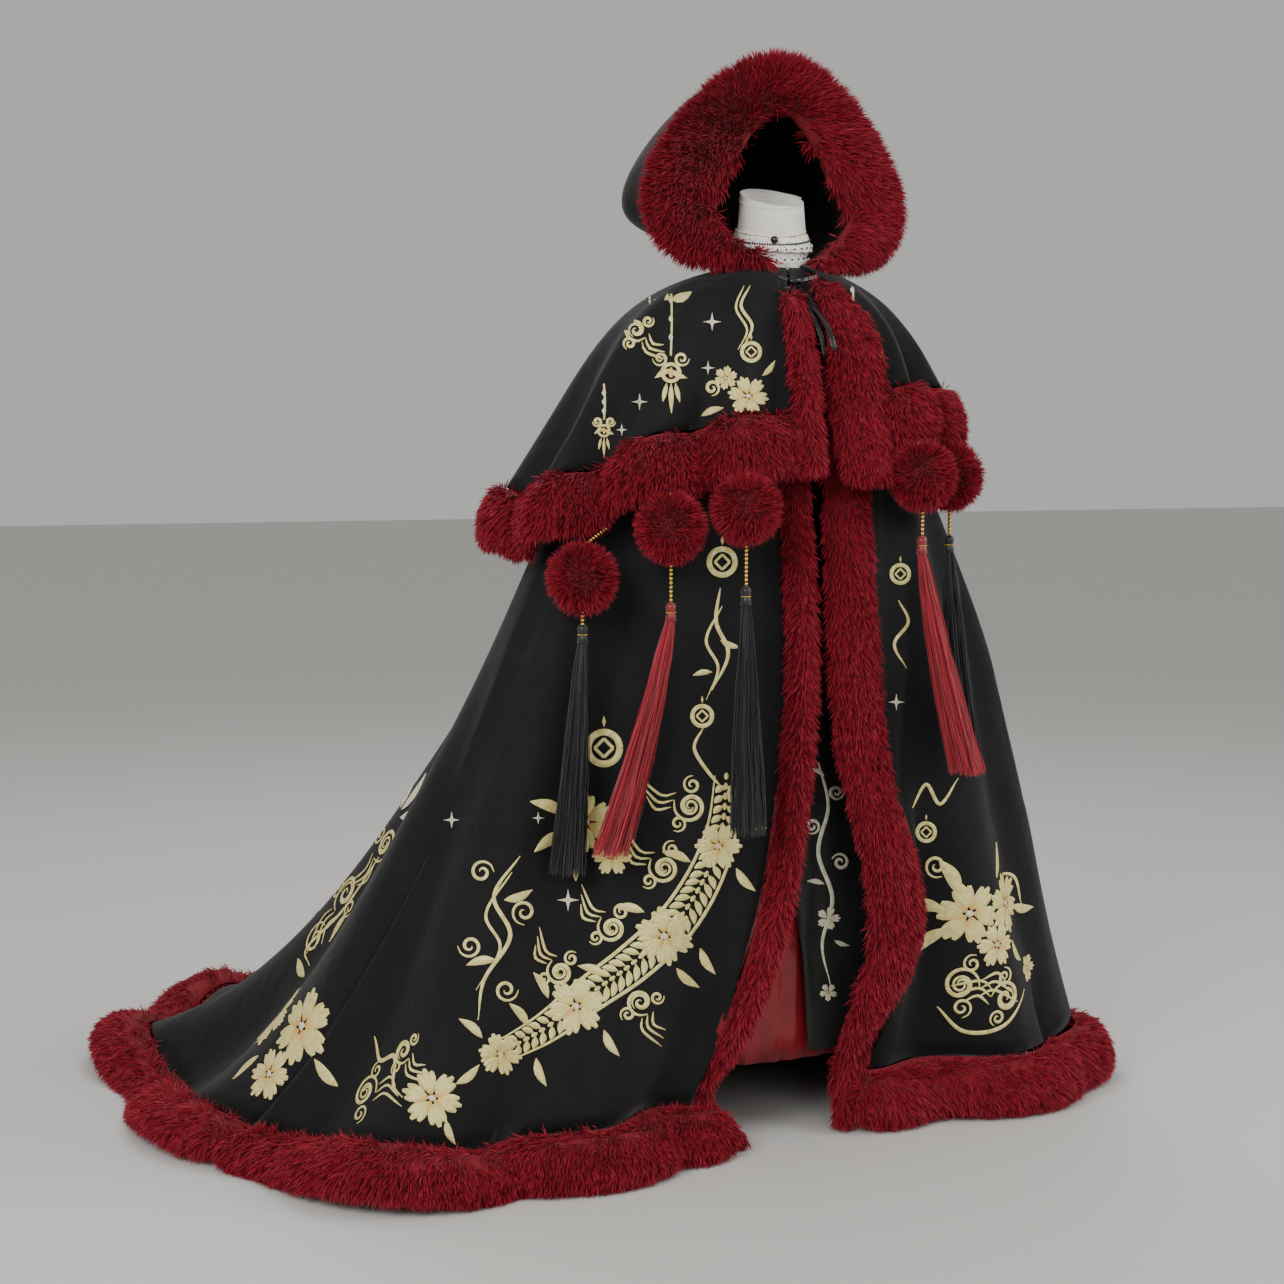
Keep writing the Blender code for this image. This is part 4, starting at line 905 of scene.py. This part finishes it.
for x, y, angle in ((738, 818, 20), (690, 862, 200), (736, 868, 50), (644, 912, 190), (700, 948, 60),
                    (606, 976, 200), (676, 968, 40), (548, 998, 240), (604, 1030, 60), (528, 1026, 230),
                    (536, 1058, 70), (482, 1038, 220), (504, 900, -20), (496, 960, 170)):
    cloak_strokes += leaf(x, y, 30, angle)
for x, y, size, angle, hand in ((482, 872, 12, 0, -1), (524, 912, 13, 90, 1), (470, 946, 12, 180, -1),
                                (506, 990, 12, 0, 1)):
    cloak_strokes += curl(x, y, size, angle, hand)
cloak_strokes += (star(452, 820, 8) + blossom(432, 1098, 30, 15) + leaf(456, 1084, 30, -40)
                  + leaf(446, 1120, 26, 70))
cloak_strokes += (vine([(912, 808), (926, 784), (940, 804), (958, 778)], 3.6) + coin(926, 832, 9)
                  + curl(936, 866, 12, 60) + star(896, 702, 8) + star(1040, 850, 7) + coin(900, 574, 9)
                  + vine([(898, 600), (908, 622), (894, 644), (906, 668)], 3.4))
sew("cloak_embroidery", "cloak", cloak_strokes)

turned_groups = {
    (988, 920): (spray(968, 912, 32, 190) + blossom(1020, 908, 30, 20) + blossom(1000, 946, 23, 0)
                 + leaf(1044, 916, 32, 10) + leaf(1002, 880, 34, -70) + leaf(1026, 946, 32, 50)
                 + vine([(1022, 880), (1048, 888), (1058, 916)], 3.6) + blossom(1064, 982, 14, 0)),
    (984, 1000): (cloud(960, 984, 19, 10, -1) + cloud(1008, 1000, 17, 190)
                  + vine([(938, 1006), (966, 1032), (1006, 1028), (1036, 1000)], 4.2)),
    (414, 792): (leaf(404, 812, 46, -62, "silver") + leaf(410, 820, 36, -24, "silver")
                 + leaf(398, 810, 34, -100, "silver")),
    (352, 896): (cloud(372, 836, 20, 120, -1) + cloud(336, 896, 21, 100)
                 + vine([(372, 850), (348, 912), (312, 962), (336, 976)], 4.6) + curl(318, 950, 18, 300, -1)
                 + leaf(360, 912, 34, 100) + leaf(306, 976, 34, 20) + star(268, 930, 9)),
    (282, 1030): (spray(236, 1018, 38, 190) + blossom(316, 1018, 38, 20) + blossom(300, 1072, 27, 50)
                  + leaf(346, 1040, 36, 20) + leaf(266, 1062, 36, 120)),
    (392, 1080): (vine([(330, 1046), (356, 1066), (380, 1058), (398, 1084), (420, 1092)], 5.0)
                  + cloud(356, 1100, 19, -10, -1) + cloud(392, 1050, 14, 20)),
}
for number, (anchor, strokes) in enumerate(turned_groups.items()):
    sew("cloak_embroidery_%d" % (number + 1), "cloak", strokes, anchor)

robe_strokes = (vine([(818, 762), (828, 806), (818, 852), (832, 898), (822, 944), (830, 984)], 4.2, "silver")
                + curl(836, 792, 8, 0, 1, "silver") + curl(812, 826, 8, 120, -1, "silver")
                + curl(840, 862, 9, 200, 1, "silver") + blossom(828, 918, 12, 0, 5, "silver", "gold")
                + leaf(824, 884, 18, 190, "silver") + leaf(834, 940, 16, 20, "silver")
                + leaf(824, 776, 16, -150, "silver") + blossom(828, 992, 9, 20, 5, "silver", "gold"))
sew("robe_embroidery", "robe", robe_strokes)

# %% [markdown]
# ## Bead strings
# Round beads are threaded on each string, with a small one between every two. An array on a curve
# could thread them too, but a loop is as short and lets two finishes take turns. The string's two ends
# are read from the frame's solid, so the beads hang between the fur, the pompom and the tassel.

# %% String the beads
def end_spots(node):
    """The middles of a solid's highest and lowest points."""
    points = mesh_points(solids[node].data)
    high = points[points[:, 2] > points[:, 2].max() - 5e-4].mean(axis=0)
    low = points[points[:, 2] < points[:, 2].min() + 5e-4].mean(axis=0)
    return high, low


def beads(name, spots, finish, detail=2):
    """Round beads, one at each (place, radius)."""
    bm = bmesh.new()
    for place, radius in spots:
        made = bmesh.ops.create_icosphere(bm, subdivisions=detail, radius=radius)
        bmesh.ops.translate(bm, verts=made["verts"], vec=Vector(place))
    mesh = bpy.data.meshes.new(name)
    bm.to_mesh(mesh)
    bm.free()
    mesh.shade_smooth()
    return link(name, mesh, finish)


BEAD_SPACING = 0.0034
LARGE_BEAD = 0.0036
SMALL_BEAD = 0.0020
for place in ("upper", "lower"):
    for number in range(1, 6):
        node = "bead_string_%s_%d" % (place, number)
        high, low = end_spots(node)
        steps = max(3, int(np.linalg.norm(high - low) / BEAD_SPACING))
        spots = [(high + (low - high) * k / steps, LARGE_BEAD if k % 2 else SMALL_BEAD)
                 for k in range(steps + 1)]
        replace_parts(beads(node + "_gold", spots[1::2], gold_bead), node)
        beads(node + "_jet", spots[::2], jet_bead)
    print(place, "strings threaded")

# %% [markdown]
# ## Tassels
# A tassel is a bound head over a skein of fine threads. The frame has a few thick strands that show
# how the skein swings. Here each tassel gets a turned head, a gold cap and some hundreds of threads
# that pass through the same middle line and spread as far. Each thread is a flat ribbon of mesh,
# because as many round curves would be far heavier and look the same.

# %% Threads of the tassels
THREAD_COUNT = 460
THREAD_HALF_WIDTH = 0.0006
SKEIN_STATIONS = (0.15, 0.35, 0.6, 0.8)
NECK_DROP = 0.028
NECK_RADIUS = 0.0075
UNEVEN_ENDS = 0.020
FOOT_HEIGHT = 0.030
MIDDLE_MARGIN = 0.10
THREAD_WANDER = 0.0012
HEAD_SIDES = 24
# How far below the top each ring of the head is, and how wide.
HEAD_RINGS = ((0.0, 0.003), (0.002, 0.0065), (0.006, 0.0085), (0.012, 0.0080), (0.015, 0.0066),
              (0.018, 0.0066), (0.021, 0.0082), (0.030, 0.0088))
CAP_DROP = 0.0165
CAP_RADIUS = 0.0074
CAP_BEADS = 16
CAP_BEAD_RADIUS = 0.0014
# Silk thread, spun and dyed: fine bright lines along the skein, a little uneven in tone.
red_thread, red_shader = new_finish("red_silk_thread", {
    "Base Color": from_hex("#a01428"), "Roughness": 0.42, "Sheen Weight": 0.3, "Specular IOR Level": 0.5})
black_thread, black_shader = new_finish("black_silk_thread", {
    "Base Color": from_hex("#111115"), "Roughness": 0.42, "Sheen Weight": 0.3, "Specular IOR Level": 0.5})
for finish, shader, dark, light in ((red_thread, red_shader, "#800c1c", "#b81e33"),
                                    (black_thread, black_shader, "#08080a", "#17171b")):
    tone = add_node(finish, "ShaderNodeAttribute", {"attribute_name": "tone"})
    finish.node_tree.links.new(shade(finish, ((0.0, dark), (1.0, light)), tone.outputs["Fac"]),
                               shader.inputs["Base Color"])


def turned_head(node, head, top, finish):
    """The tassel's bound head, with a ring of small gold beads round its waist."""
    bm = bmesh.new()
    rings = []
    for drop, wide in HEAD_RINGS:
        rings.append([bm.verts.new((head[0] + wide * math.cos(math.tau * k / HEAD_SIDES),
                                    head[1] + wide * math.sin(math.tau * k / HEAD_SIDES), top - drop))
                      for k in range(HEAD_SIDES)])
    for near, far in zip(rings, rings[1:]):
        for k in range(HEAD_SIDES):
            after = (k + 1) % HEAD_SIDES
            bm.faces.new((near[k], near[after], far[after], far[k]))
    bm.faces.new(rings[0])
    bm.faces.new(rings[-1][::-1])
    bmesh.ops.recalc_face_normals(bm, faces=bm.faces)
    mesh = bpy.data.meshes.new(node + "_head")
    bm.to_mesh(mesh)
    bm.free()
    mesh.shade_smooth()
    link(node + "_head", mesh, finish)
    waist = head - np.array((0, 0, CAP_DROP))
    angles = np.linspace(0, math.tau, CAP_BEADS + 1)[:-1]
    beads(node + "_cap", [(waist + np.array((CAP_RADIUS * math.cos(a), CAP_RADIUS * math.sin(a), 0)),
                           CAP_BEAD_RADIUS) for a in angles], gold_bead, 1)


def skein(node, finish, seed):
    """Fine threads along the frame's thick strands, with a turned head."""
    points = mesh_points(solids[node].data)
    top, low = points[:, 2].max(), points[:, 2].min()
    head = points[points[:, 2] > top - 1e-4].mean(axis=0)
    neck = np.array((head[0], head[1], top - NECK_DROP))
    lower_set = points[points[:, 2] < low + FOOT_HEIGHT]
    foot = lower_set.mean(axis=0)
    spread = np.linalg.norm((lower_set - foot)[:, :2], axis=1).max()
    middle_set = points[(points[:, 2] < neck[2] - MIDDLE_MARGIN) & (points[:, 2] > low + MIDDLE_MARGIN)]
    middle = middle_set.mean(axis=0) if len(middle_set) else (neck + foot) / 2
    rng = np.random.default_rng(seed)
    angle = rng.random(THREAD_COUNT) * math.tau
    radius = np.sqrt(rng.random(THREAD_COUNT))
    ring = np.stack((np.cos(angle), np.sin(angle), np.zeros(THREAD_COUNT)), axis=1) * radius[:, None]
    tips = foot + ring * spread
    tips[:, 2] = low + rng.random(THREAD_COUNT) * UNEVEN_ENDS
    spots = [neck + ring * NECK_RADIUS]
    for share in SKEIN_STATIONS:
        one = neck * (1 - share) ** 2 + middle * 2 * share * (1 - share) + foot * share ** 2
        one[2] = neck[2] + (foot[2] - neck[2]) * share
        wander = rng.normal(0, THREAD_WANDER, (THREAD_COUNT, 3))
        spots.append(one + ring * (NECK_RADIUS + (spread - NECK_RADIUS) * share ** 0.8) + wander)
    spots.append(tips)
    across = unit(np.cross(np.array([[0.0, 0.0, 1.0]]), rng.normal(0, 1, (THREAD_COUNT, 3))))
    across *= THREAD_HALF_WIDTH
    rows = np.stack([s for spot in spots for s in (spot - across, spot + across)], axis=1)
    stations = len(spots)
    first = np.arange(THREAD_COUNT)[:, None, None] * (stations * 2)
    pattern = []
    for k in range(stations - 1):
        pattern += [(2 * k, 2 * k + 1, 2 * k + 3), (2 * k, 2 * k + 3, 2 * k + 2)]
    mesh = mesh_of(node + "_threads", rows.reshape(-1, 3),
                   (first + np.array(pattern)[None]).reshape(-1, 3))
    tone = np.repeat(rng.random(THREAD_COUNT), stations * 2)
    mesh.attributes.new("tone", "FLOAT", "POINT").data.foreach_set("value", tone.astype(np.float32))
    threads = link(node + "_threads", mesh, finish)
    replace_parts(threads, node)
    turned_head(node, head, top, finish)


for number in range(1, 6):
    skein("tassel_%d" % number, red_thread if number in (2, 4) else black_thread, 80 + number)
print("threads in each tassel", THREAD_COUNT)

# %% [markdown]
# ## Lace, pearls and the necklace
# The lace is a white strip with eyelets, cut in scallops along its lower edge. Pearls are sewn along
# it and dark beads above it, and a thin chain with one round dark stone lies on the collar. Eyelets
# could be cut through the strip, but here they are about three pixels apart, so a cell texture draws
# them. The beads are real spheres, because each one has its own highlight.

# %% Lace and its beads
# Cotton lace, bobbin made: matt white with a raised net, and small dark eyelets 6 mm apart.
lace_finish, lace_shader = new_finish("cotton_lace", {"Roughness": 0.65, "Sheen Weight": 0.2})
lace_place = add_node(lace_finish, "ShaderNodeTexCoord").outputs["Object"]
eyelets = add_node(lace_finish, "ShaderNodeTexVoronoi", inputs={
    "Vector": lace_place, "Scale": per_metre(6)})
lace_colour = shade(lace_finish, ((0.16, "#3f3a36"), (0.30, "#efece5")), eyelets.outputs["Distance"])
lace_finish.node_tree.links.new(lace_colour, lace_shader.inputs["Base Color"])
lace_relief = add_node(lace_finish, "ShaderNodeBump", inputs={
    "Height": eyelets.outputs["Distance"], "Strength": 0.6, "Distance": 0.001})
lace_finish.node_tree.links.new(lace_relief.outputs["Normal"], lace_shader.inputs["Normal"])
cloth_of["collar_lace"] = dress("collar_lace", lace_finish, 2)
print("lace finish", lace_finish.name)

# %% Beads laid round the neck
NECK_TURN = 0.35
NECK_RADIUS_GUESS = 0.056
neck_tree = carrier_tree("collar_lace"), carrier_tree("stand_collar")


def round_neck(count, front, back, stand_off):
    """Places all round the neck at a height that rises from front to back, a little off the cloth."""
    places = []
    for k in range(count):
        angle = math.tau * k / count
        height = front + (back - front) * (1 - math.cos(angle + NECK_TURN)) / 2
        out = Vector((math.sin(angle), -math.cos(angle), 0))
        hits = [tree.ray_cast(Vector((0, 0, height)) + out * 0.2, -out)[0] for tree in neck_tree]
        reach = max((hit.dot(out) for hit in hits if hit is not None), default=NECK_RADIUS_GUESS)
        places.append(out * (reach + stand_off) + Vector((0, 0, height)))
    return places


# A row is how many places it has, its height in front and behind, and how far it stands off.
CHAIN_ROW = (150, 0.047, 0.082, 0.0009)
CHAIN_BEAD_RADIUS = 0.0010
DARK_ROW = (96, 0.034, 0.066, 0.0014)
DARK_BEAD_RADIUS = 0.0021
beads("necklace_chain", [(p, CHAIN_BEAD_RADIUS) for p in round_neck(*CHAIN_ROW)], gold_bead, 1)
beads("collar_dark_beads", [(p, DARK_BEAD_RADIUS) for p in round_neck(*DARK_ROW)], jet_bead, 1)

STONE_ROW = (150, 0.042, 0.080, 0.004)
STONE_SPOT = Vector((-0.030, -0.070, 0.043))
STONE_RADIUS = 0.0068
stone = min(round_neck(*STONE_ROW), key=lambda p: (p - STONE_SPOT).length)
beads("necklace_stone", [(stone, STONE_RADIUS)], jet_bead, 3)
print("necklace stone at", [round(v, 3) for v in stone])

# %% Beads sewn on the lace
LACE_PLACES = 54
SCALLOP_ABOVE_LOWEST = 0.0065
SCALLOP_BELOW_HIGHEST = 0.0210
SCALLOP_OFF = 0.0012
PEARL_RADIUS = 0.0024
JET_RADIUS = 0.0019
lace_low, lace_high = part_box("collar_lace")
scallops = round_neck(LACE_PLACES, lace_low[2] + SCALLOP_ABOVE_LOWEST,
                      lace_high[2] - SCALLOP_BELOW_HIGHEST, SCALLOP_OFF)
beads("lace_pearls", [(p, PEARL_RADIUS) for p in scallops[::2]], pearl)
beads("lace_jets", [(p, JET_RADIUS) for p in scallops[1::2]], jet_bead)

FRINGE_FRONT = 0.0135
FRINGE_BACK = 0.0400
FRINGE_STEP = 0.0052
FRINGE_OFF = 0.0018
for row in range(3):
    drops = round_neck(LACE_PLACES, FRINGE_FRONT - FRINGE_STEP * row, FRINGE_BACK - FRINGE_STEP * row,
                       FRINGE_OFF)
    beads("lace_fringe_%d" % (row + 1), [(p, JET_RADIUS) for p in drops[row % 2::2]],
          pearl if row != 1 else jet_bead)

PICOT_ROW = (130, 0.0945, 0.1345, 0.0004)
PICOT_RADIUS = 0.0013
beads("collar_picot", [(p, PICOT_RADIUS) for p in round_neck(*PICOT_ROW)], pearl, 1)
print("lace places", len(scallops), "picot beads", PICOT_ROW[0])

# %% [markdown]
# ## Read each cloth
# The cut's area is read from the finished cloth, one face of it, and the cut's length from a
# maker's pattern.

for node, cloth in cloth_of.items():
    points, faces, _ = triangles_of(cloth.data)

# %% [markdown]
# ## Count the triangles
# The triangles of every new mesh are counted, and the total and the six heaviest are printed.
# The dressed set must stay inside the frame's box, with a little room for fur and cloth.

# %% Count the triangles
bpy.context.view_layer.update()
triangle_counts = {}
for obj in bpy.context.scene.objects:
    if obj.type == "MESH" and obj.name not in solids and obj is not floor:
        triangle_counts[obj.name] = sum(len(face.vertices) - 2 for face in obj.data.polygons)
heaviest = sorted(triangle_counts.items(), key=lambda pair: -pair[1])[:6]
print("triangles in all", sum(triangle_counts.values()), "heaviest", heaviest)
